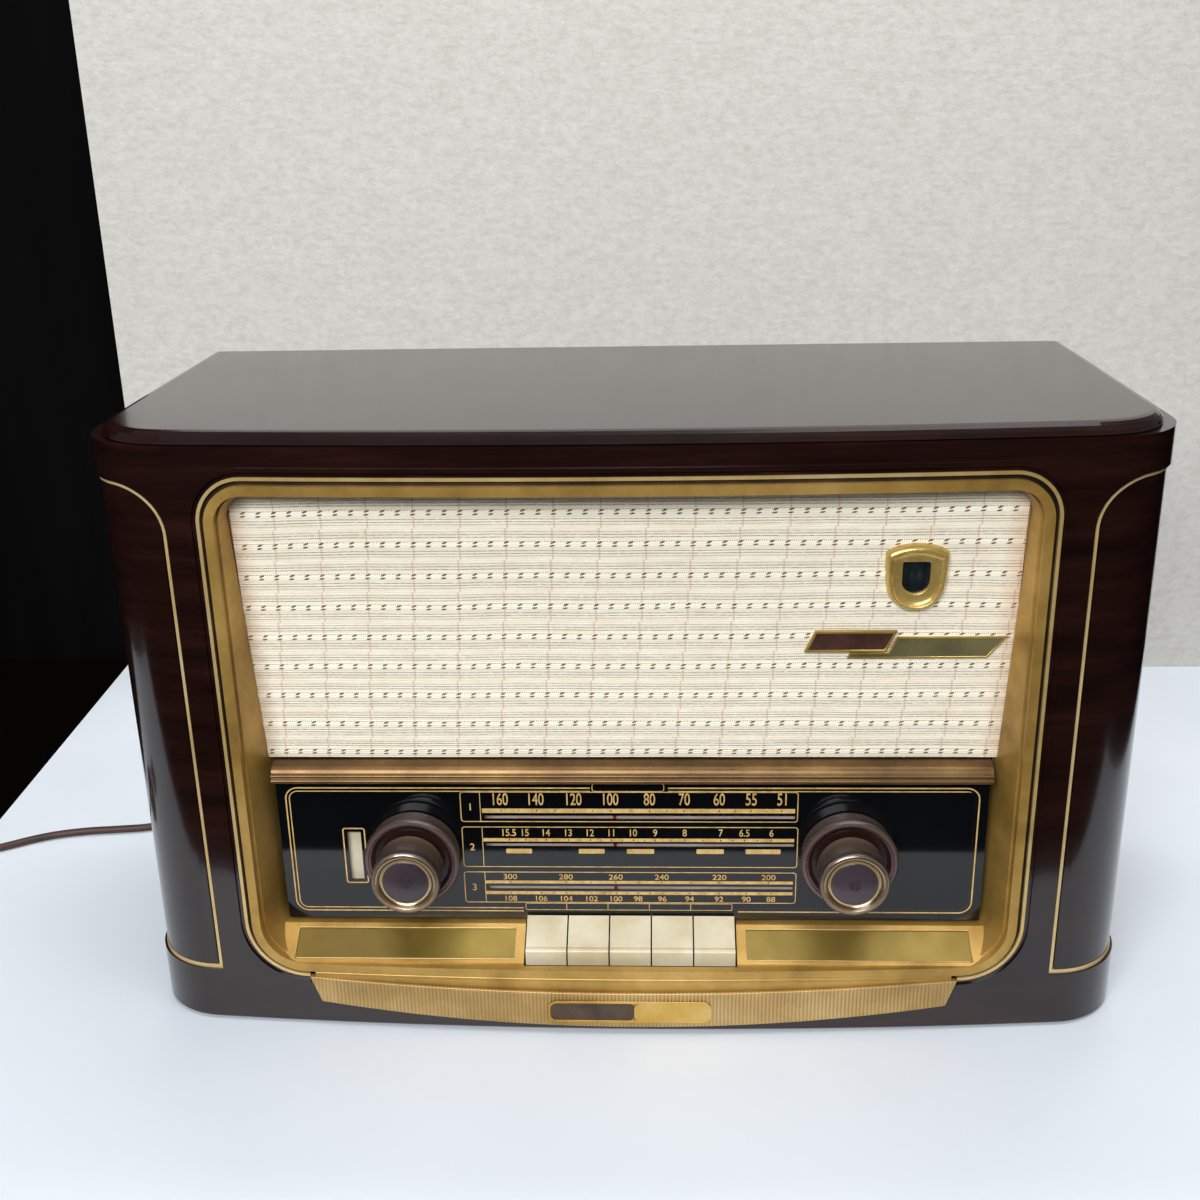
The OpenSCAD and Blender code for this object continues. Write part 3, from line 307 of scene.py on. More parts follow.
# Gold-sprayed moulded plastic of the surround, satin, cloudy where it has been handled
surroundMat = goldFinish("surroundGold", "#cfa962", "#b48f48", "#8a6a30", 0.38, 0.5)
stripMat = goldFinish("stripGold", "#ceb27c", "#b99860", "#957845", 0.38, 0.5)
beadMat = goldFinish("beadGold", "#e8cf9a", "#d8b97c", "#b0904f", 0.32, 0.5)
inlayMat = goldFinish("inlayGold", "#e6d2a0", "#d4ba84", "#b89a5e", 0.34, 0.35)
mouldingMat = goldFinish("mouldingBrass", "#84693f", "#684e2e", "#48341e", 0.36, 0.7)
bronzeMat = goldFinish("grooveBronze", "#4a3a26", "#33271a", "#1d1610", 0.42, 0.6)
paint(surroundMat, "bezel")
paint(beadMat, "trim_ring")
paint(mouldingMat, "divider_moulding")
paint(inlayMat, "inlay_left", "inlay_right")
paint(bronzeMat, "groove_ring")

# Painted shade in the flutes of the strip, darkest at the bottom of each, every 2 mm
flutePitch = 2.0
flutes = partial(addNode, stripMat)
atX = flutes("SeparateXYZ", flutes("TexCoord", out="Object"))
fluteTurn = flutes("COSINE", flutes("MULTIPLY", atX, 2000 * math.pi / flutePitch))
fluteShade = flutes("MapRange", fluteTurn, 0.35, 1.0, 0.0, 0.5)
fluteShadeTone = {0: fluteShade, 6: toneOf(stripMat), 7: lin("#6e5527")}
feed(stripMat, Base_Color=flutes("Mix", fluteShadeTone, out=2, data_type="RGBA"))

# Olive gold of the two sunk pads beside the keys, told apart from the surround by place, in mm
padField = {"x": (61.8, 180.9), "y": (-102.2, -86.6), "top": 50.9}
surround = partial(addNode, surroundMat)
place = surround("TexCoord", out="Object")
atX, atY, atZ = surround("SeparateXYZ", place).node.outputs
fromMid = surround("ABSOLUTE", atX)
padTests = [("GREATER_THAN", fromMid, padField["x"][0]), ("LESS_THAN", fromMid, padField["x"][1]),
            ("GREATER_THAN", atY, padField["y"][0]), ("LESS_THAN", atY, padField["y"][1]),
            ("LESS_THAN", atZ, padField["top"])]
padMask = 1.0
for test, value, limit in padTests:
    padMask = surround("MULTIPLY", surround(test, value, limit / 1000), padMask)
padCloud = surround("TexNoise", Vector=place, Scale=18, Detail=4, Roughness=0.55)
padTone = surround("ValToRGB", padCloud, stops=[(0.3, "#6c5822"), (0.7, "#8c7632")])
feed(surroundMat, Base_Color=surround("Mix", {0: padMask, 6: toneOf(surroundMat), 7: padTone}, out=2, data_type="RGBA"))

# Plain woods, metals and mouldings of the parts behind the front, each with the nodes that it covers
plainNodes = [
    (plainFinish("plainBoard", "#a3805a", "#7c5b3a", 0.62, grain=14, stretch=(1, 7, 7)),
     ["bottom_board", "baffle_board", "back_battens"]),
    (plainFinish("fibreBoard", "#54382a", "#3a251a", 0.7, grain=70, fine=900, bump=0.4), ["back_cover"]),
    (plainFinish("footFelt", "#3a342e", "#26221e", 0.95, grain=200, fine=1500, bump=0.8), ["feet"]),
    (plainFinish("zincPlate", "#b3b4b1", "#8f918f", 0.38, metal=0.9, grain=25),
     ["chassis", "key_bracket", "aerial_bracket"]),
    (plainFinish("screwNickel", "#c3c0b6", "#8d8a80", 0.3, metal=1.0, grain=120), ["cover_screws", "pointer_rail"]),
    (plainFinish("paperLaminate", "#6a3f22", "#472812", 0.42, grain=60), ["valve_sockets", "socket_strip"]),
    (plainFinish("drawnAluminium", "#c8cacc", "#a9abad", 0.3, metal=0.95, grain=18, stretch=(1, 1, 8)),
     ["if_cans", "smoothing_capacitor", "tuning_gang", "gang_rotor"]),
    (plainFinish("varnishedCore", "#3a3430", "#241f1c", 0.45, grain=50), ["mains_transformer", "output_transformer"]),
    (plainFinish("speakerGrey", "#6c7072", "#54585a", 0.4, grain=30), ["speaker_frame", "tweeter"]),
    (plainFinish("conePulp", "#3c352d", "#2a241e", 0.85, grain=160, fine=900, bump=0.5), ["speaker_cone"]),
    (plainFinish("ferriteRod", "#5a4a40", "#3a3a3c", 0.5, grain=40), ["ferrite_aerial"]),
    (plainFinish("driveThread", "#8a734a", "#5e4c30", 0.8, grain=300), ["dial_cord"]),
    (plainFinish("blackRubber", "#26211f", "#171413", 0.5, grain=80), ["strain_relief", "plug_body"]),
    (plainFinish("pinBrass", "#d8b873", "#b08f4c", 0.25, metal=1.0, grain=90), ["plug_pins"]),
    (plainFinish("scaleBlack", "#141416", "#0b0b0c", 0.6, grain=40), ["scale_panel"]),
    (plainFinish("pointerRed", "#b02a30", "#8c1a20", 0.4, grain=60), ["dial_pointer"]),
]
for plainMat, names in plainNodes:
    paint(plainMat, *names)

# Ivory plastic of the keys and the tone flag, yellowed in patches, polished by fingers
ivoryMat = noiseFinish("ivoryPlastic", [(0.3, "#b8ab88"), (0.55, "#c6bb9e"), (0.8, "#d0c8b2")],
                       [(55, 4, 0.55), (260, 3, 0.55)], relief=(0.05, 0.0002),
                       Roughness=0.28, Subsurface_Weight=0.08, Subsurface_Scale=0.002)
paint(ivoryMat, "tone_flag", *["key_%d" % i for i in range(1, 6)])

# Valve glass: clear, thin, with the silvery getter flash near the top
bulbMat = newMat("valveGlass", Base_Color=lin("#dfe8e8"), Roughness=0.03, Transmission_Weight=0.92, IOR=1.45)
bulbZ = addNode(bulbMat, "SeparateXYZ", addNode(bulbMat, "TexCoord", out="Object"), out=2)
bulbHigh = addNode(bulbMat, "MULTIPLY", bulbZ, 8.0)
flash = addNode(bulbMat, "ValToRGB", bulbHigh, stops=[(0.93, "#000000"), (0.97, "#ffffff")])
bulbTone = {0: flash, 6: lin("#dfe8e8"), 7: lin("#4a4c50")}
feed(bulbMat, Base_Color=addNode(bulbMat, "Mix", bulbTone, out=2, data_type="RGBA"))
paint(bulbMat, *["valve_%d" % i for i in range(1, 6)])
print("stage finishes")

# Grille cloth: cream weave with rows of gold twist, pink warp threads and grey pinstripes, sizes in mm
weave = {
    "rowPitch": 16.75, "rowZero": 286.6,  # rows of twist, and the height of one of them
    "wander": 0.12,  # share of a row that the weave wanders by
    "lean": -1.2,  # how far each row is moved along from the last
    "twistPitch": 7.6, "warpPitch": 22.8, "pinPitch": 1.45, "dotPitch": 1.1,
    "half": 192.5,  # half the width of the sheet
    "rows": 110, "columns": 260,  # points of the mesh
    "lowEdge": 0.6, "highEdge": 2.2, "off": 0.35,  # gaps at the foot and the top, and off the board
    "lift": 0.4, "liftWide": 1.3,  # how far a row of twist stands out
}
clothMat = newMat("grilleCloth", Roughness=0.86, Sheen_Weight=0.25)
cloth = partial(addNode, clothMat)
place = cloth("TexCoord", out="Object")
clothX, _, clothZ = cloth("SeparateXYZ", place).node.outputs
wobble = cloth("TexNoise", Vector=place, Scale=16, Detail=2, Roughness=0.55)
rowPhase = cloth("MULTIPLY_ADD", clothZ, 1000 / weave["rowPitch"], 0.5 - weave["rowZero"] / weave["rowPitch"])
wandered = cloth("MULTIPLY_ADD", wobble, weave["wander"], -weave["wander"] / 2)
rowPhase = cloth("ADD", rowPhase, wandered)
upMm = cloth("MULTIPLY", cloth("SUBTRACT", cloth("FRACT", rowPhase), 0.5), weave["rowPitch"])
lean = cloth("MULTIPLY", cloth("FLOOR", rowPhase), weave["lean"] / 1000)
alongMm = cloth("MULTIPLY", cloth("ADD", clothX, lean), 1000.0)


# Distance along the row from the middle of each repeat
def fromRepeat(pitch):
    turns = cloth("MULTIPLY_ADD", alongMm, 1 / pitch, 40.0)
    return cloth("MULTIPLY_ADD", cloth("FRACT", turns), pitch, -pitch / 2)


# Distance from the middle of each repeat, as a share of the repeat
def shareOf(value, pitch):
    return cloth("SUBTRACT", cloth("FRACT", cloth("MULTIPLY", value, 1 / pitch)), 0.5)


# 1 within half of zero, falling to 0 over the edge
def band(value, half, edge):
    return cloth("MapRange", cloth("ABSOLUTE", value), half, half + edge, 1.0, 0.0)


# One stitch of the twist: an ellipse, sheared upwards along the row
def stitch(x0, z0, halfX, halfZ, slant):
    dx = cloth("SUBTRACT", stitchCell, x0)
    dz = cloth("SUBTRACT", cloth("SUBTRACT", upMm, z0), cloth("MULTIPLY", dx, slant))
    acrossX = cloth("POWER", cloth("DIVIDE", dx, halfX), 2.0)
    acrossZ = cloth("POWER", cloth("DIVIDE", dz, halfZ), 2.0)
    return band(cloth("ADD", acrossX, acrossZ), 0.6, 0.6)


# Twist: an upper and a lower stitch in each repeat, and a line of dots between the upper ones
stitchCell = fromRepeat(weave["twistPitch"])
twist = cloth("MAXIMUM", stitch(0.3, 0.85, 1.4, 0.55, 0.3), stitch(-0.1, -0.95, 1.4, 0.52, 0.15))
dotLine = band(cloth("SUBTRACT", upMm, 1.5), 0.18, 0.2)
dots = cloth("MULTIPLY", dotLine, band(shareOf(alongMm, weave["dotPitch"]), 0.2, 0.14))
twist = cloth("MAXIMUM", twist, cloth("MULTIPLY", dots, 0.75))

# Pinstripes: three threads on each side of a row, broken here and there
pinVec = cloth("Mapping", Vector=place, Scale=(60, 60, 900))
pinBreaks = cloth("TexNoise", Vector=pinVec, Scale=8, Detail=3, Roughness=0.55)
pinThread = band(shareOf(upMm, weave["pinPitch"]), 0.10, 0.16)
pinField = band(cloth("SUBTRACT", cloth("ABSOLUTE", upMm), 4.6), 1.7, 0.7)
pins = cloth("MULTIPLY", cloth("MULTIPLY", pinThread, pinField), cloth("MapRange", pinBreaks, 0.36, 0.5))

# Warp threads, hidden where a row of twist crosses them, and freckles half-way between the rows
offTwist = cloth("SUBTRACT", 1.0, band(upMm, 1.5, 0.6))
warps = cloth("MULTIPLY", band(fromRepeat(weave["warpPitch"]), 0.28, 0.35), offTwist)
freckleVec = cloth("Mapping", Vector=place, Scale=(1, 1, 2.2))
freckles = cloth("MapRange", cloth("TexNoise", Vector=freckleVec, Scale=620, Detail=2, Roughness=0.55), 0.62, 0.72)
freckles = cloth("MULTIPLY", freckles, band(cloth("SUBTRACT", cloth("ABSOLUTE", upMm), 8.3), 2.4, 1.2))

# Cream ground, paler along each raised row: the twist's white thread with a painted highlight on the row's swell; gold
# of the twist; browner towards both ends
groundVec = cloth("Mapping", Vector=place, Scale=(1, 1, 5))
groundCloud = cloth("TexNoise", Vector=groundVec, Scale=60, Detail=4, Roughness=0.55)
ground = cloth("ValToRGB", groundCloud, stops=[(0.3, "#f1e4cb"), (0.7, "#fbf3df")])
goldCloud = cloth("TexNoise", Vector=place, Scale=900, Detail=2, Roughness=0.55)
twistGold = cloth("ValToRGB", goldCloud, stops=[(0.35, "#4a3d1c"), (0.7, "#9a7c3c")])
# Browner over the last 10 mm at each end of the cloth, beside the bezel's reveal
endBrowning = cloth("MapRange", cloth("ABSOLUTE", clothX), 0.182, 0.193)
clothTone = ground
# The first layer, near white along each raised row, is the twist's white thread with a painted highlight on its swell
for mask, share, color in ((band(upMm, 1.7, 0.7), 0.6, lin("#fffbe9")), (pins, 0.9, lin("#7d8373")),
                           (warps, 0.5, lin("#c99c8c")), (freckles, 0.35, lin("#b08878")),
                           (twist, 1.0, twistGold), (endBrowning, 0.45, lin("#a9713c"))):
    layer = {0: cloth("MULTIPLY", mask, share), 6: clothTone, 7: color}
    clothTone = cloth("Mix", layer, out=2, data_type="RGBA")

# Relief of the threads: a fine rib, the stitches, and the swell of each row
rib = cloth("TexWave", Vector=place, Scale=260.0, Distortion=1.5, bands_direction="Z")
swell = cloth("MULTIPLY", band(upMm, 1.6, 0.6), 0.4)
relief = cloth("ADD", cloth("MULTIPLY", twist, 0.7), swell)
relief = cloth("ADD", cloth("MULTIPLY", rib, 0.3), relief)
feed(clothMat, Base_Color=clothTone, Normal=cloth("Bump", Height=relief, Strength=0.5, Distance=0.0005))

# The speaker board that carries the cloth and the badges leans back by 5.2 degrees from its foot
board = {"tilt": math.radians(5.2), "footY": -77.35, "footZ": 148.5, "tall": 156.5}


# A place on the leaning board: x along, h up its face, y off it to the back
def onBoard(x, y, h):
    leanY = board["footY"] + y * math.cos(board["tilt"]) - h * math.sin(board["tilt"])
    leanZ = board["footZ"] + y * math.sin(board["tilt"]) + h * math.cos(board["tilt"])
    return np.stack([x, leanY, leanZ], axis=-1) / 1000


# Cloth: a sheet on the board whose rows swell forwards as exp(-d^2) of the distance to the nearest row
clothU, clothH = np.meshgrid(np.linspace(-weave["half"], weave["half"], weave["columns"]),
                             np.linspace(weave["lowEdge"], board["tall"] - weave["highEdge"], weave["rows"]),
                             indexing="ij")
rowCount = (clothH * math.cos(board["tilt"]) + board["footZ"] - weave["rowZero"]) / weave["rowPitch"]
rowSwell = np.exp(-((rowCount - np.round(rowCount)) * weave["rowPitch"] / weave["liftWide"]) ** 2)
clothPts = onBoard(clothU, weave["off"] - weave["lift"] * rowSwell, clothH)
sheet = gridPiece("cloth_sheet", clothPts, clothMat, slot="grille_cloth")
eyeHole = {"at": Vector((0.1415, -0.0868, 0.2515)), "radius": 0.0105}
cut = bmesh.new()
cut.from_mesh(sheet.data)
inHole = [f for f in cut.faces if (f.calc_center_median() - eyeHole["at"]).length < eyeHole["radius"]]
bmesh.ops.delete(cut, geom=inHole, context="FACES")
cut.to_mesh(sheet.data)
cut.free()
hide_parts("grille_cloth")
print("stage cloth")


# The filled mesh of a flat curve or of lettering
def meshOf(curve):
    holder = bpy.data.objects.new("holder", curve)
    bpy.context.scene.collection.objects.link(holder)
    bpy.context.view_layer.update()
    mesh = bpy.data.meshes.new_from_object(holder.evaluated_get(bpy.context.evaluated_depsgraph_get()))
    bpy.data.objects.remove(holder)
    return mesh


def vertsOf(mesh):
    co = np.empty(len(mesh.vertices) * 3)
    mesh.vertices.foreach_get("co", co)
    return co.reshape(-1, 3)


# Flat piece with loops in mm, seen from the front, whose back lies at yBack; a loop inside a loop is a hole
def flatPiece(name, loops, yBack, thick, mat, slot=None):
    curve = bpy.data.curves.new(name + "Curve", "CURVE")
    curve.dimensions, curve.fill_mode, curve.extrude = "2D", "BOTH", thick / 2
    for loop in loops:
        line = curve.splines.new("POLY")
        line.points.add(len(loop) - 1)
        ones = np.ones(len(loop))
        line.points.foreach_set("co", np.c_[np.array(loop, float) / 1000, 0 * ones, ones].ravel())
        line.use_cyclic_u = True
    mesh = meshOf(curve)
    co = vertsOf(mesh)
    mesh.vertices.foreach_set("co", np.stack([co[:, 0], yBack - thick / 2 - co[:, 2], co[:, 1]], axis=-1).ravel())
    merged = bmesh.new()
    merged.from_mesh(mesh)
    bmesh.ops.remove_doubles(merged, verts=merged.verts, dist=1e-7)
    bmesh.ops.recalc_face_normals(merged, faces=merged.faces)
    merged.to_mesh(mesh)
    merged.free()
    return addPiece(name, mesh, mat, slot=slot)


# Dial: 3 mm glass painted black behind, printed in gold. Places in mm as (left, low, right, top)
dial = {
    "face": -0.08215,  # m, the front of the glass
    "pane": (-187, 54, 187, 138), "paneCorner": 1.5, "paint": 0.0007,
    "slots": [(-77, 115.2, 87, 117.2), (-77, 98.6, 87, 100.5), (-77, 72.4, 87, 74.4)],
    "toneHole": (-151.2, 78.2, -143.8, 107.2),
    "shaftX": 115, "shaftZ": 95.5, "shaftHole": 7.4,
    "print": 0.00003, "printGap": 0.00001,  # m, the ink's thickness and the gap that keeps it clear of the paint
    "bandDeep": 0.00625, "bandThick": 0.0002, "bandOver": (-2, -4, 2, 6),  # m, m, and mm past the slots
}

# Black glass, polished, with hairline scuffs
paneMat = noiseFinish("dialBlackGlass", [(0.3, "#07080a"), (0.7, "#0d0e11")],
                      [(6, 2, 0.55), (120, 4, 0.55, (1, 1, 6))], (0.07, 0.02), Roughness=0.05, IOR=1.5)

# Printed gold, matte, slightly uneven as screen print is
printMat = noiseFinish("goldPrint", [(0.3, "#b8924f"), (0.7, "#dfbd7c")], [(260, 3, 0.55)],
                       Roughness=0.55, Metallic=0.15)

paneLoops = [roundLoop(*dial["pane"], dial["paneCorner"])]
paneLoops += [boxLoop(*hole) for hole in (*dial["slots"], dial["toneHole"])]
paneLoops += [discLoop(side * dial["shaftX"], dial["shaftZ"], dial["shaftHole"]) for side in (-1, 1)]
glassPiece = flatPiece("dial_pane", paneLoops, dial["face"] + dial["paint"], dial["paint"], paneMat, "dial_glass")
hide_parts("dial_glass")
printBack = dial["face"] - dial["printGap"]


# A printed frame with rounded corners: its outer and inner outline
def frameLoops(x0, z0, x1, z1, r, w):
    return [roundLoop(x0, z0, x1, z1, r), roundLoop(x0 + w, z0 + w, x1 - w, z1 - w, max(0.3, r - w))]


# Half of the outer frame on each side, open in the middle above the keys and below the plate at the top
def openFrame(inward, w):
    low, right, top, r = np.add(lines["frame"], (inward, -inward, -inward, -inward))
    gapTop, gapLow = lines["gaps"]
    a = np.radians(np.arange(0, 91, 10))
    edges = []
    for rr, ww in ((r, 0), (r - w, w)):
        cx = right - ww - rr
        lowArc = np.c_[cx + rr * np.sin(a), low + ww + rr - rr * np.cos(a)]
        topArc = np.c_[cx + rr * np.cos(a), top - ww - rr + rr * np.sin(a)]
        edges.append(np.vstack([[(gapLow, low + ww)], lowArc, topArc, [(gapTop, top - ww)]]))
    half = np.vstack([edges[0], edges[1][::-1]])
    return [half * (side, 1) for side in (-1, 1)]


# Lines of the print: outer frames, the bare plate at the top, three bands, key fields, tone window, wave marks
lines = {
    "frame": (58.4, 182.6, 133.9, 7), "gaps": (20.5, 58),  # low, right, top, radius; half the gap at the top and below
    "outer": [(0, 0.75), (2.0, 0.6)],  # how far in, and how wide
    "topPlate": (-19.5, 131.4, 18.5, 136.2, 1.6, 0.4),
    "bands": [(-89.4, 113.4, 88.6, 131.4, -78.8), (-89.4, 86.0, 89, 110.6, -78.4), (-89.6, 64.0, 88.8, 83.2, -78.2)],
    "bandCorner": 1.8, "bandWide": 0.5, "wallHalf": 0.2,
    "keyField": (-56.9, 59.4, 54.9, 63.8, 0.8, 0.4), "keyPitch": 22.36, "keyWall": (59.8, 63.4),
    "toneFrame": (-153.6, 75.8, -141.4, 109.6, 1.6, 0.7),
    "waveHeights": (94.4, 97.2), "waveMarks": [(-66, -52.2), (-27.2, -13.4), (-1.5, 13), (35.5, 50), (61.5, 80)],
}
lineLoops = [loop for inward, w in lines["outer"] for loop in openFrame(inward, w)]
lineLoops += frameLoops(*lines["topPlate"])
w, half = lines["bandWide"], lines["wallHalf"]
for x0, z0, x1, z1, wall in lines["bands"]:
    lineLoops += frameLoops(x0, z0, x1, z1, lines["bandCorner"], w)
    lineLoops.append(boxLoop(wall - half, z0 + w, wall + half, z1 - w))
lineLoops += frameLoops(*lines["keyField"])
keyLow, keyTop = lines["keyWall"]
for k in range(1, 5):
    wall = lines["keyField"][0] + k * lines["keyPitch"]
    lineLoops.append(boxLoop(wall - half, keyLow, wall + half, keyTop))
lineLoops += frameLoops(*lines["toneFrame"])
waveLow, waveTop = lines["waveHeights"]
lineLoops += [roundLoop(x0, waveLow, x1, waveTop, 0.5, 4) for x0, x1 in lines["waveMarks"]]
flatPiece("dial_lines", lineLoops, printBack, dial["print"], printMat, "gold_trim")

# Scales: each a bar between two heights with ticks cut out of it, and plain numbers with their places along X
scales = [
    {"bar": (118.8, 121.4), "height": 127.0, "size": 0.0072, "squeeze": 0.62,
     "numbers": {160: -67.9, 140: -49, 120: -29, 100: -9.6, 80: 10.7, 70: 29, 60: 47.3, 55: 64, 51: 80}},
    {"bar": (101.6, 103.6), "height": 107.0, "size": 0.0042, "squeeze": 0.82,
     "numbers": {15.5: -64, 15: -55.4, 14: -44.2, 13: -32.4, 12: -20.8, 11: -9.6, 10: 2.1, 9: 13.6, 8: 29.2,
                 7: 48.3, 6.5: 60.7, 6: 75}},
    {"bar": (75.9, 77.7), "height": 80.1, "size": 0.0032, "squeeze": 1.15,
     "numbers": {300: -64.5, 280: -34.5, 260: -7.7, 240: 17, 220: 47.8, 200: 74}},
    {"bar": (69.2, 71.1), "height": 66.6, "size": 0.0032, "squeeze": 1.1,
     "numbers": {108: -64.5, 106: -48, 104: -34.4, 102: -20.7, 100: -7.5, 98: 4.2, 96: 17.2, 94: 31.9, 92: 47.7,
                 90: 62.3, 88: 75.5}},
]
ticks = {"half": 0.3, "tall": 0.9, "short": 0.6, "ends": (-78, 87)}
ink = {"half": 0.00002, "bold": 0.008}  # m, and a share of the size
bandNames = {"size": 0.0042, "x": -84.1, "heights": {1: 122.4, 2: 98.3, 3: 73.6}}
barLoops = []
for scale in scales:
    low, high = scale["bar"]
    xs = sorted(scale["numbers"].values())
    barLoops.append(boxLoop(ticks["ends"][0], low, ticks["ends"][1], high))
    for x in sorted(xs + [(a + b) / 2 for a, b in zip(xs, xs[1:])]):
        tall = ticks["tall"] if x in xs else ticks["short"]
        half = ticks["half"]
        barLoops.append(boxLoop(x - half, (low + high - tall) / 2, x + half, (low + high + tall) / 2))
flatPiece("dial_bars", barLoops, printBack, dial["print"], printMat, "gold_trim")


# Points and faces of one number, brought to its height and squeezed, with its middle at x, z
def digits(words, x, z, size, squeeze=1.0):
    curve = bpy.data.curves.new("digits", "FONT")
    curve.body, curve.align_x, curve.align_y = str(words), "CENTER", "CENTER"
    curve.size, curve.extrude, curve.offset = size, ink["half"], size * ink["bold"]
    mesh = meshOf(curve)
    co = vertsOf(mesh)
    faces = [tuple(p.vertices) for p in mesh.polygons]
    bpy.data.meshes.remove(mesh)
    tall = np.ptp(co[:, 1])
    co[:, :2] -= (co[:, :2].max(0) + co[:, :2].min(0)) / 2
    co[:, :2] *= size / tall
    pts = [x / 1000 + co[:, 0] * squeeze, dial["face"] - dial["print"] - co[:, 2], z / 1000 + co[:, 1]]
    return np.stack(pts, axis=-1), faces


digitParts = [digits(words, x, scale["height"], scale["size"], scale["squeeze"])
              for scale in scales for words, x in scale["numbers"].items()]
digitParts += [digits(words, bandNames["x"], z, bandNames["size"]) for words, z in bandNames["heights"].items()]
joinedPiece("dial_digits", digitParts, printMat, smooth=False, slot="gold_trim")

# Pale band behind the slots that the red pointer runs on
bandMat = noiseFinish("slotBand", [(0.3, "#c8b0a4"), (0.7, "#e8d4c6")], [(40, 3, 0.55, (1, 1, 4))], Roughness=0.5)
bandLoops = [boxLoop(*np.add(slot, dial["bandOver"])) for slot in dial["slots"]]
flatPiece("slot_bands", bandLoops, dial["face"] + dial["bandDeep"], dial["bandThick"], bandMat, "dial_black")
print("stage dial")

# Fluted strip under the surround, in mm: bowed in plan like the front, and curved up towards both ends
front = {"bow": 2900.0, "y": -107.85}
strip = {
    "half": 172.5, "cutEnd": 0.1, "top": 26.0, "foot": 5.0, "riseTop": 6.0, "riseFoot": 12.3,
    "end": 11, "endDrop": 4, "endOver": 1,  # the slanted ends
    "flutes": 172, "perFlute": 6, "fluteDeep": 0.5, "fluteHalf": 0.72, "plainEnd": 13,
    "clear": 0.02,
    # how far it stands out, the share of its height, and how much of the flute's depth it has there
    "section": [(0.0, 0.0, 0), (2.6, 0.0, 0), (3.0, 0.02, 0.6), (3.0, 0.06, 1), (3.0, 0.5, 1), (3.0, 0.86, 1),
                (3.0, 0.9, 0.4), (3.0, 0.93, 0), (3.0, 0.985, 0), (2.7, 1.0, 0), (0.0, 1.0, 0)],
    # the smooth field above it: how far out, and its height, or None for the strip's own edge
    "fieldInset": 3, "field": [(0.0, None), (1.55, None), (1.6, 31.5), (1.6, 33.6), (1.1, 34.3), (-0.5, 34.5)],
}


# Circle of the bowed front, seen from above
def bowY(x):
    return front["y"] + front["bow"] - np.sqrt(front["bow"] ** 2 - x * x)


# Circle through the middle of the strip's edge that has risen by rise at its end
def riseAt(x, rise):
    r = strip["half"] ** 2 / (2 * rise)
    return r - np.sqrt(r ** 2 - x ** 2)


stripEnd = strip["half"] - strip["cutEnd"]
stripX = np.linspace(-stripEnd, stripEnd, strip["flutes"] * strip["perFlute"] + 1)
lowZ = strip["foot"] + riseAt(stripX, strip["riseFoot"])
highZ = strip["top"] + riseAt(stripX, strip["riseTop"])
endTall = strip["top"] + strip["riseTop"] + strip["endOver"] - strip["foot"] + strip["endDrop"]
pastEnd = (np.abs(stripX) - (strip["half"] - strip["end"])) / strip["end"]
lowZ = np.minimum(np.maximum(lowZ, pastEnd * endTall + strip["foot"] - strip["endDrop"]), highZ - 0.05)
fluteAt = (stripX + flutePitch / 2) % flutePitch - flutePitch / 2
fluted = np.abs(stripX) < strip["half"] - strip["plainEnd"]
fluteCut = strip["fluteDeep"] * np.clip(1 - (np.abs(fluteAt) / strip["fluteHalf"]) ** 2, 0, 1) * fluted
out, share, cut = np.array(strip["section"]).T[:, None, :]
stripY = bowY(stripX)[:, None] - out - strip["clear"] + fluteCut[:, None] * cut
stripZ = lowZ[:, None] + (highZ - lowZ)[:, None] * share
stripPts = np.stack(np.broadcast_arrays(stripX[:, None], stripY, stripZ), axis=-1) / 1000
stripPiece = gridPiece("fluted_strip", stripPts, stripMat, slot="gold_plastic")

# Smooth field above the flutes, up to the lip of the surround
fieldX = np.linspace(strip["fieldInset"] - strip["half"], strip["half"] - strip["fieldInset"], 161)
fieldLow = strip["top"] - 1 + riseAt(fieldX, strip["riseTop"])
fieldRows = [(out, fieldLow if z is None else np.maximum(fieldLow, z)) for out, z in strip["field"]]
fieldPts = np.stack([np.c_[fieldX, bowY(fieldX) - out - strip["clear"], zs] for out, zs in fieldRows], axis=1) / 1000
gridPiece("strip_field", fieldPts, surroundMat, slot="gold_plastic")
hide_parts("trim_strip")


# Moves each point of a piece to where place() puts it
def bend(ob, place):
    ob.data.vertices.foreach_set("co", place(vertsOf(ob.data)).ravel())
    ob.data.update()


# Bare name plate on the strip: a rim, a dark half and a gold half, as (left, low, right, top, radius) in mm
plate = {
    "outer": (-44, 8.5, 43, 21.5, 4.5), "inner": (-42.9, 9.6, 41.9, 20.4, 3.6), "split": 2,
    "lift": 0.0029,  # m, out to the lands between the flutes
    "rimThick": 0.0009, "darkThick": 0.0005, "pillThick": 0.0007,
}


def bowPlate(name, loops, thick, mat):
    ob = flatPiece(name, loops, 0, thick, mat, "gold_plastic")
    bend(ob, lambda co: co + np.outer(bowY(co[:, 0] * 1000) / 1000 - plate["lift"], (0, 1, 0)))


# Bronzed and gilded metal, pressed and polished
darkPlateMat = plainFinish("darkPlate", "#5b4a3c", "#3f3128", 0.34, metal=0.6, grain=90)
pillMat = goldFinish("pillGold", "#e0c078", "#caa24e", "#a37c32", 0.3, 0.85)
left, low, right, top, corner = plate["inner"]
bowPlate("plate_rim", [roundLoop(*plate["outer"]), roundLoop(*plate["inner"])], plate["rimThick"], pillMat)
bowPlate("plate_dark", [roundLoop(left, low, plate["split"], top, corner)], plate["darkThick"], darkPlateMat)
bowPlate("plate_pill", [roundLoop(plate["split"], low, right, top, corner)], plate["pillThick"], pillMat)


# Flat piece laid on the leaning board, lift mm in front of the cloth
def boardPlate(name, loops, lift, thick, mat, slot):
    def lean(co):
        x, y, z = co.T * 1000
        return onBoard(x, y - lift, (z - board["footZ"]) / math.cos(board["tilt"]))

    bend(flatPiece(name, loops, 0, thick, mat, slot), lean)


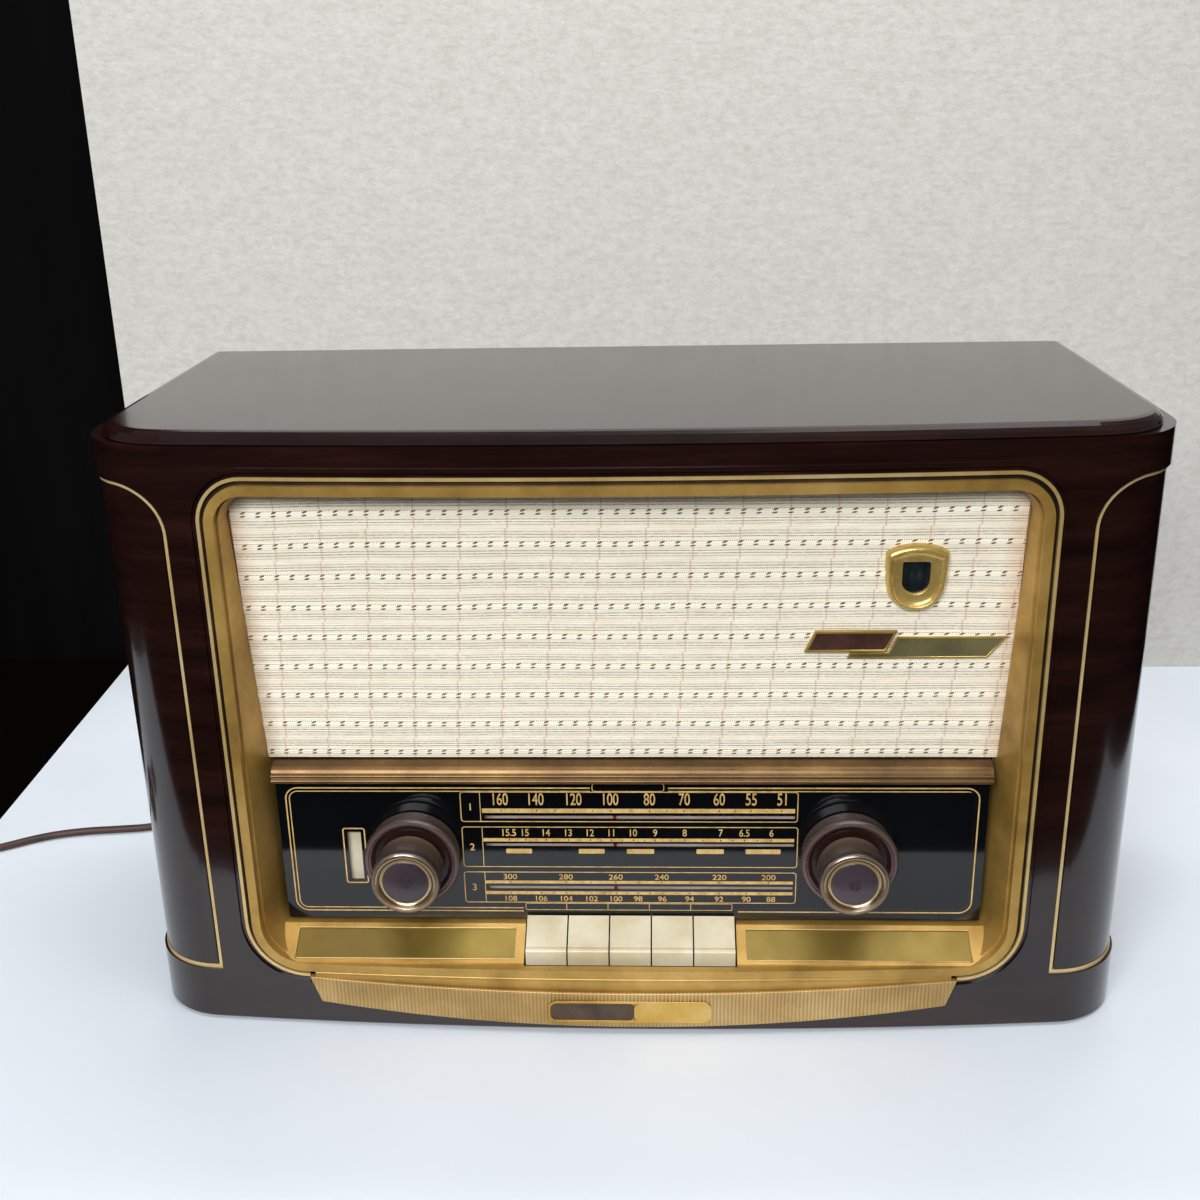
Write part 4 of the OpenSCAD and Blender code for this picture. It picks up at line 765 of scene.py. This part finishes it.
# The loop moved inwards: each corner goes along the sum of the normals of its two edges
def inset(loop, d):
    p = np.array(loop, float)
    before, after = p - np.roll(p, 1, axis=0), np.roll(p, -1, axis=0) - p
    n1, n2 = (np.c_[-e[:, 1], e[:, 0]] / np.hypot(*e.T)[:, None] for e in (before, after))
    return p + d * (n1 + n2) / (1 + (n1 * n2).sum(axis=1))[:, None]


# Two bare badges: a plum plate over a longer olive one, both with bright edges, in mm on the board's face
badges = {
    "upper": [(88.8, 211.4), (129.3, 211.4), (134.2, 222.9), (93.8, 222.9)],
    "lower": [(110.2, 207.5), (179.6, 207.7), (188.6, 219.3), (134.5, 219.3), (130.6, 210.6), (111.8, 210.6)],
    "upperRim": 1.1, "lowerRim": 0.75, "lap": 0.15,  # width of each edge, and how far the plate goes under it
    "upperLift": 0.2, "lowerLift": 0.15,
}
# Plum lacquer and olive gilt on pressed metal, edges polished
badgeMat = plainFinish("badgePlum", "#5e4036", "#3c2620", 0.3, metal=0.3, grain=80)
oliveMat = goldFinish("badgeOlive", "#a89c70", "#857c56", "#5e593f", 0.34, 0.5)
badgeEdgeMat = goldFinish("badgeEdge", "#ecd08a", "#d2b060", "#a08238", 0.3, 0.6)
for key, mat, slot, plateThick, edgeThick in (("upper", badgeMat, "bronze", 0.0014, 0.0018),
                                              ("lower", oliveMat, "gold_trim", 0.0008, 0.0011)):
    loop, rim, lift = badges[key], badges[key + "Rim"], badges[key + "Lift"]
    boardPlate("badge_" + key, [inset(loop, rim - badges["lap"])], lift, plateThick, mat, slot)
    boardPlate("badge_%s_edge" % key, [loop, inset(loop, rim)], lift, edgeThick, badgeEdgeMat, "gold_plastic")
print("stage strip and plates")

# Dark plum plastic knobs, 36 mm and 51 mm, with turned brass rims and finely knurled sides.
# Tones are (radius in mm, hex); the rim runs between two radii, and the bead is a thin bright ring
knobs = {
    "x": 115, "z": 95.5, "knurls": 150,
    "front": {"rim": (14.9, 16.7), "knurl": 17.4, "bead": 13.0,
              "tones": [(0, "#33292c"), (12.0, "#3a3032"), (12.7, "#e0c48c"), (13.2, "#d0b27c"), (13.6, "#2e2018"),
                        (14.5, "#4a3826"), (15.2, "#c9aa86"), (16.6, "#a98c70"), (17.2, "#4a3d35"), (17.7, "#2c2623")]},
    # The ring's tones inside 21.6 mm are near black: painted shade of the recess between the ring and the knob
    "ring": {"rim": (22.0, 23.0), "knurl": 25.1, "bead": 22.4,
             "tones": [(0, "#1c1012"), (18.5, "#22140f"), (21.6, "#2a181a"), (22.1, "#c8a8a0"), (22.7, "#8d7070"),
                       (23.4, "#5b484a"), (24.4, "#54453f"), (25.1, "#3a302c")]},
}


# Rings of tone by the distance from the knob's own middle, bright where the metal is
def knobFinish(name, look):
    mat = newMat(name, Roughness=0.3)
    knob = partial(addNode, mat)
    at = knob("TexCoord", out="Object")
    x, _, z = knob("SeparateXYZ", at).node.outputs
    dx = knob("MULTIPLY", knob("SUBTRACT", knob("ABSOLUTE", x), knobs["x"] / 1000), 1000.0)
    dz = knob("MULTIPLY", knob("SUBTRACT", z, knobs["z"] / 1000), 1000.0)
    squares = knob("ADD", knob("MULTIPLY", dx, dx), knob("MULTIPLY", dz, dz))
    r = knob("SQRT", squares)
    tone = knob("ValToRGB", knob("DIVIDE", r, 30.0), stops=[(far / 30.0, color) for far, color in look["tones"]])
    smear = knob("TexNoise", Vector=at, Scale=70, Detail=4, Roughness=0.55)
    grime = {0: knob("MULTIPLY", smear, 0.16), 6: tone, 7: lin("#2a1f1c")}
    rimMid, rimHalf = sum(look["rim"]) / 2, (look["rim"][1] - look["rim"][0]) / 2
    offRim = knob("ABSOLUTE", knob("SUBTRACT", r, rimMid))
    offBead = knob("ABSOLUTE", knob("SUBTRACT", r, look["bead"]))
    bright = knob("MAXIMUM", knob("MapRange", offRim, rimHalf, rimHalf + 0.3, 1.0, 0.0),
                  knob("MapRange", offBead, 0.35, 0.6, 1.0, 0.0))
    knurl = knob("SINE", knob("MULTIPLY", knob("ARCTAN2", dz, dx), float(knobs["knurls"])))
    knurl = knob("MULTIPLY", knurl, knob("GREATER_THAN", r, look["knurl"]))
    feed(mat, Base_Color=knob("Mix", grime, out=2, data_type="RGBA"), Metallic=knob("MULTIPLY", bright, 0.9),
         Roughness=knob("MULTIPLY_ADD", smear, 0.18, 0.16),
         Normal=knob("Bump", Height=knurl, Strength=0.3, Distance=0.0002))
    return mat


paint(knobFinish("knobPlum", knobs["front"]), "volume_knob", "tuning_knob")
paint(knobFinish("ringPlum", knobs["ring"]), "tone_ring", "aerial_ring")

# Dished cap in the face of each front knob: (radius, height) in mm, the dish a parabola, then the rolled edge
cap = {"y": -113.8, "deep": 0.9, "radius": 12.3, "edge": [(12.2, 0.25), (12.45, 1.0)]}
# Smooth plum plastic, as moulded
capMat = plainFinish("knobDome", "#453a40", "#33292e", 0.22, grain=30, fine=300, bump=0.04)
dish = np.array([0, 2, 4, 6, 8, 10, 11.4])
dishLine = np.c_[dish, cap["deep"] * ((dish / cap["radius"]) ** 2 - 1)]
dishLine[0, 0] = 0.0003  # the middle stays open by a hair, so that the faces there have a size
capLine = np.vstack([dishLine, cap["edge"]]) / 1000
for name, side, body in (("volume_cap", -1, "volume_control"), ("tuning_cap", 1, "tuning_control")):
    middle = (side * knobs["x"] / 1000, cap["y"] / 1000, knobs["z"] / 1000)
    gridPiece(name, turned(capLine, middle), capMat, closeN=True, body=body, slot="brown_plastic")

# Gold moulded shield round the tuning eye: 31 by 36 mm, raised rim, dished inside, in mm round its middle
eye = {
    "x": 141.5, "z": 252.0, "midZ": -1.0,
    "half": [(0, 18.1), (4, 17.9), (8, 17.1), (11.5, 15.9), (14.2, 14.6), (15.1, 13.7), (15.4, 12.2), (15.3, 8),
             (15.1, 3), (14.6, -2.5), (13.8, -7), (12.4, -10.6), (10.2, -13.6), (7.2, -15.9), (3.8, -17.3), (0, -17.7)],
    "mean": 16.2,  # mean radius, by which an inset becomes a share
    # rim as (inset, height), then the dish as (share of the way to the window, height)
    "rim": [(0.15, -0.2), (0.15, 0.8), (0.7, 2.6), (1.5, 3.7), (2.1, 4.0), (2.6, 4.05), (2.9, 3.8), (3.2, 3.1)],
    "dishFrom": 3.3,
    "dish": [(0.0, 2.9), (0.12, 2.35), (0.35, 1.9), (0.7, 1.55), (0.94, 1.4), (1.0, 1.3), (1.0, -0.6), (1.0, -3.0)],
    "windowHalf": 6.85, "windowTop": 8.4, "windowTurn": -2.0,  # straight sides down to the turn, then a half circle
    "count": 216,
}
# Gold-plated moulded plastic, bright
eyeMat = goldFinish("eyeGold", "#ecd38e", "#d0b064", "#a18244", 0.27, 0.62)
shield = np.array(eye["half"] + [(-x, z) for x, z in eye["half"][-2:0:-1]], float) - (0, eye["midZ"])
shieldTurn, shieldFar = np.arctan2(shield[:, 1], shield[:, 0]), np.hypot(*shield.T)
shieldOrder = np.argsort(shieldTurn)


# The shield's outline by angle, drawn in towards its middle
def shieldLoop(inward):
    a = np.linspace(-np.pi, np.pi, eye["count"], endpoint=False)
    r = np.interp(a, shieldTurn[shieldOrder], shieldFar[shieldOrder], period=2 * np.pi) * (1 - inward / eye["mean"])
    return np.c_[r * np.cos(a), r * np.sin(a) + eye["midZ"]]


# Where the ray from the middle through each point meets the window: its side, its top, or its half circle
def windowLoop(pts):
    ray = pts - (0, eye["midZ"])
    ray /= np.hypot(*ray.T)[:, None]
    half, turn = eye["windowHalf"], eye["windowTurn"] - eye["midZ"]
    top = (eye["windowTop"] - eye["midZ"]) / np.maximum(ray[:, 1], 1e-6)
    far = np.minimum(half / np.maximum(np.abs(ray[:, 0]), 1e-6), top)
    along = ray[:, 1] * turn
    onArc = along + np.sqrt(np.maximum(0.0, along ** 2 - turn ** 2 + half ** 2))
    far = np.where(far * ray[:, 1] < turn, onArc, far)
    return ray * far[:, None] + (0, eye["midZ"])


inner = shieldLoop(eye["dishFrom"])
window = windowLoop(inner)
eyeRings = [(shieldLoop(inward), lift) for inward, lift in eye["rim"]]
eyeRings += [(inner + (window - inner) * share, lift) for share, lift in eye["dish"]]
eyePts = np.stack([np.c_[ring, np.full(len(ring), lift)] for ring, lift in eyeRings], axis=1)
eyePts = onBoard(eye["x"] + eyePts[..., 0], -eyePts[..., 2], eye["z"] - board["footZ"] + eyePts[..., 1])
eyePiece = gridPiece("eye_shield", eyePts, eyeMat, closeN=True, slot="gold_plastic")
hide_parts("eye_escutcheon")

# Dark glass of the eye tube, with grey vertical streaks that are painted highlights of the glass cylinder
eyeGlassMat = noiseFinish("eyeTubeGlass", [(0.3, "#0b0f10"), (0.6, "#1c2225"), (0.8, "#3c3e3e")],
                          [(70, 3, 0.55, (3, 1, 1))], Roughness=0.07, IOR=1.5)
paint(eyeGlassMat, "magic_eye")

# Raised face of the tone flag, close behind the glass, so the window shows ivory: a box in mm
toneBox = {"x": (-151.9, -143.1), "y": (-78.9, -75.6), "z": (76.2, 121.8)}
toneCorners = np.stack(np.meshgrid(*toneBox.values(), indexing="ij"), axis=-1).reshape(-1, 3) / 1000
toneSides = [(0, 1, 3, 2), (4, 6, 7, 5), (0, 4, 5, 1), (2, 3, 7, 6), (0, 2, 6, 4), (1, 5, 7, 3)]
meshPiece("tone_face", toneCorners, toneSides, ivoryMat, smooth=False, body="tone_indicator", slot="ivory_plastic")

# Brass moulding between cloth and dial: a (y, z) section in mm with two rounded lines and a hollow slope, run along X
moulding = {
    "half": 187.4, "y": -82.15, "z": 138.0, "count": 60,
    "section": [(-3.4, 0.2), (-4.4, 0.3), (-5.4, 0.6), (-5.9, 1.2), (-6.0, 1.9), (-5.8, 2.6), (-5.2, 3.05), (-4.6, 3.3),
                (-4.7, 3.7), (-5.3, 3.95), (-5.7, 4.5), (-5.6, 5.1), (-5.1, 5.6), (-4.4, 5.8), (-4.0, 6.1),
                (-3.7, 6.9), (-3.0, 7.9), (-2.0, 8.8), (-0.6, 9.6), (1.0, 9.9), (3.2, 10.1), (5.2, 10.2)],
}
mouldX = np.linspace(-moulding["half"], moulding["half"], moulding["count"])[:, None]
mouldY, mouldZ = np.array(moulding["section"]).T[:, None, :]
mouldPts = np.broadcast_arrays(mouldX, moulding["y"] + mouldY, moulding["z"] + mouldZ)
mouldPiece = gridPiece("divider_bead", np.stack(mouldPts, axis=-1) / 1000, mouldingMat, slot="gold_plastic")
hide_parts("divider_moulding")

# Bright line round the sunk field of each pad, 0.56 mm, through its corners in mm: a rod in the lighter bead gold,
# painted highlight of the pad's edge
padGlint = {"corners": [(61.85, -101.85, 41.5), (61.85, -86.9, 50.95), (180.8, -86.9, 50.95), (180.8, -101.85, 41.5)],
           "radius": 0.00028}
padLoop = np.array(padGlint["corners"] + padGlint["corners"][:1]) / 1000
padTubes = [tubePts(resample(padLoop * (side, 1, 1), 0.002), padGlint["radius"], 6) for side in (-1, 1)]
padParts = [(pts.reshape(-1, 3), gridFaces(*pts.shape[:2], closeM=True)) for pts in padTubes]
joinedPiece("pad_glint_lines", padParts, beadMat, slot="gold_plastic")

# Paper-covered wire tie that holds the coil: 1.2 mm, a loop round the section of the coil
tie = {"loop": (10.9, 0.65, 42.0, 11.3, 4.8), "turn": 330, "radius": 0.0006}
tieMat = plainFinish("tiePaper", "#e4e0d6", "#cfcabd", 0.7, grain=200)
tieFar, tieZ = roundLoop(*tie["loop"]).T
tieTurn = math.radians(tie["turn"])
tiePath = np.c_[leadLay["coilX"] + tieFar * math.cos(tieTurn), leadLay["coilY"] + tieFar * math.sin(tieTurn), tieZ]
tiePath = resample(np.vstack([tiePath, tiePath[:1]]) / 1000, 0.001)
gridPiece("coil_tie", tubePts(tiePath, tie["radius"], 8), tieMat, closeM=True, slot="cord_sheath")

# White table top, its front edge just below the view; off the table the same sheet is painted near black, painted shade
# of the unlit room; edges in m
table = {"front": -0.247, "left": -0.8, "right": 0.56, "backLeft": -0.4466, "slant": -0.033, "notch": 0.1135}
tableMat = noiseFinish("tablePale", [(0.3, "#d3dae2"), (0.7, "#dde3ea")], [(3, 3, 0.55)], Roughness=0.5)
pale = partial(addNode, tableMat)
atX, atY, _ = pale("SeparateXYZ", pale("TexCoord", out="Object")).node.outputs
pastLeft = pale("LESS_THAN", atX, pale("MULTIPLY_ADD", atY, table["slant"], table["backLeft"]))
pastLeft = pale("MULTIPLY", pastLeft, pale("GREATER_THAN", atY, table["notch"]))
onTable = pale("SUBTRACT", 1.0, pastLeft)
for test, value, limit in (("GREATER_THAN", atY, table["front"]), ("GREATER_THAN", atX, table["left"]),
                           ("LESS_THAN", atX, table["right"])):
    onTable = pale("MULTIPLY", onTable, pale(test, value, limit))
# Near black off the table: painted shade of the room beyond
tableOrRoomShade = {0: onTable, 6: lin("#060504"), 7: toneOf(tableMat)}
feed(tableMat, Base_Color=pale("Mix", tableOrRoomShade, out=2, data_type="RGBA"),
     Specular_IOR_Level=pale("MULTIPLY", onTable, 0.5))

# Warm grey felt wall behind the table, and left of it a near-black sheet, painted shade of the unlit room
wallMat = noiseFinish("wallFelt", [(0.3, "#bbb7b0"), (0.5, "#c7c4bd"), (0.7, "#d1cec8")],
                      [(130, 6, 0.75, (1, 1, 1.6))], relief=(0.3, 0.002), Roughness=0.95)
roomShadeMat = noiseFinish("roomShadeBlack", [(0.3, "#020202"), (0.7, "#080808")], [(3, 3, 0.55, (6, 6, 0.6))],
                         Roughness=1.0, Specular_IOR_Level=0.05)

# Both are clear from behind, so that the back of the set can be seen
for mat in (wallMat, roomShadeMat):
    behind = addNode(mat, "NewGeometry", out="Backfacing")
    solid = mat.node_tree.nodes["Principled BSDF"].outputs[0]
    seen = addNode(mat, "MixShader", behind, solid, addNode(mat, "BsdfTransparent"))
    mat.node_tree.links.new(seen, mat.node_tree.nodes["Material Output"].inputs["Surface"])

# Stage: the table top, then each upright sheet as (left, right, y), from the table up, in m
stage = {"tableZ": -0.0004, "tableHalf": 3, "low": -0.01, "high": 1.5, "wall": (-0.4265, 0.62, 0.395),
         "roomShade": (-2.6, -0.4, 0.42)}
sheets = [("stage_table", tableMat, [(x * stage["tableHalf"], y * stage["tableHalf"], stage["tableZ"])
                                     for x, y in ((-1, -1), (1, -1), (1, 1), (-1, 1))])]
for key, mat in (("wall", wallMat), ("roomShade", roomShadeMat)):
    left, right, y = stage[key]
    corners = [(left, y, stage["low"]), (right, y, stage["low"]), (right, y, stage["high"]), (left, y, stage["high"])]
    sheets.append(("stage_" + key, mat, corners))
for name, mat, corners in sheets:
    meshPiece(name, corners, [(0, 1, 2, 3)], mat, smooth=False, body=None)

# Even daylight of a room, and four soft lamps
sky = {"color": (0.78, 0.82, 0.88, 1), "strength": 0.14}
world = bpy.data.worlds.new("studio")
bpy.context.scene.world = world
world.use_nodes = True
world.node_tree.nodes["Background"].inputs["Color"].default_value = sky["color"]
world.node_tree.nodes["Background"].inputs["Strength"].default_value = sky["strength"]
lamps = {  # where it stands, what it faces, its size in m, watts, color
    "lampFront": ((-0.5, -2.1, 1.45), (0, 0, 0.12), (1.6, 0.8), 66, (0.97, 0.98, 1)),
    "lampTop": ((0.25, -0.35, 2.1), (0.1, 0.12, 0.1), (1.8, 1.1), 10, (0.98, 0.99, 1)),
    "lampBack": ((0.0, 0.36, 1.25), (0, 0.1, 0.12), (1.0, 0.3), 9, (1, 0.99, 0.97)),
    "lampWall": ((0.3, -0.6, 1.9), (0.3, 0.395, 0.5), (1.6, 0.6), 10, (1, 0.99, 0.97)),
}
for name, (stands, faces, size, watts, color) in lamps.items():
    light = bpy.data.lights.new(name, "AREA")
    light.shape, light.size, light.size_y = "RECTANGLE", *size
    light.energy, light.color = watts, color
    ob = bpy.data.objects.new(name, light)
    bpy.context.scene.collection.objects.link(ob)
    ob.location = stands
    ob.rotation_mode = "QUATERNION"
    ob.rotation_quaternion = (Vector(faces) - Vector(stands)).to_track_quat("-Z", "Y")
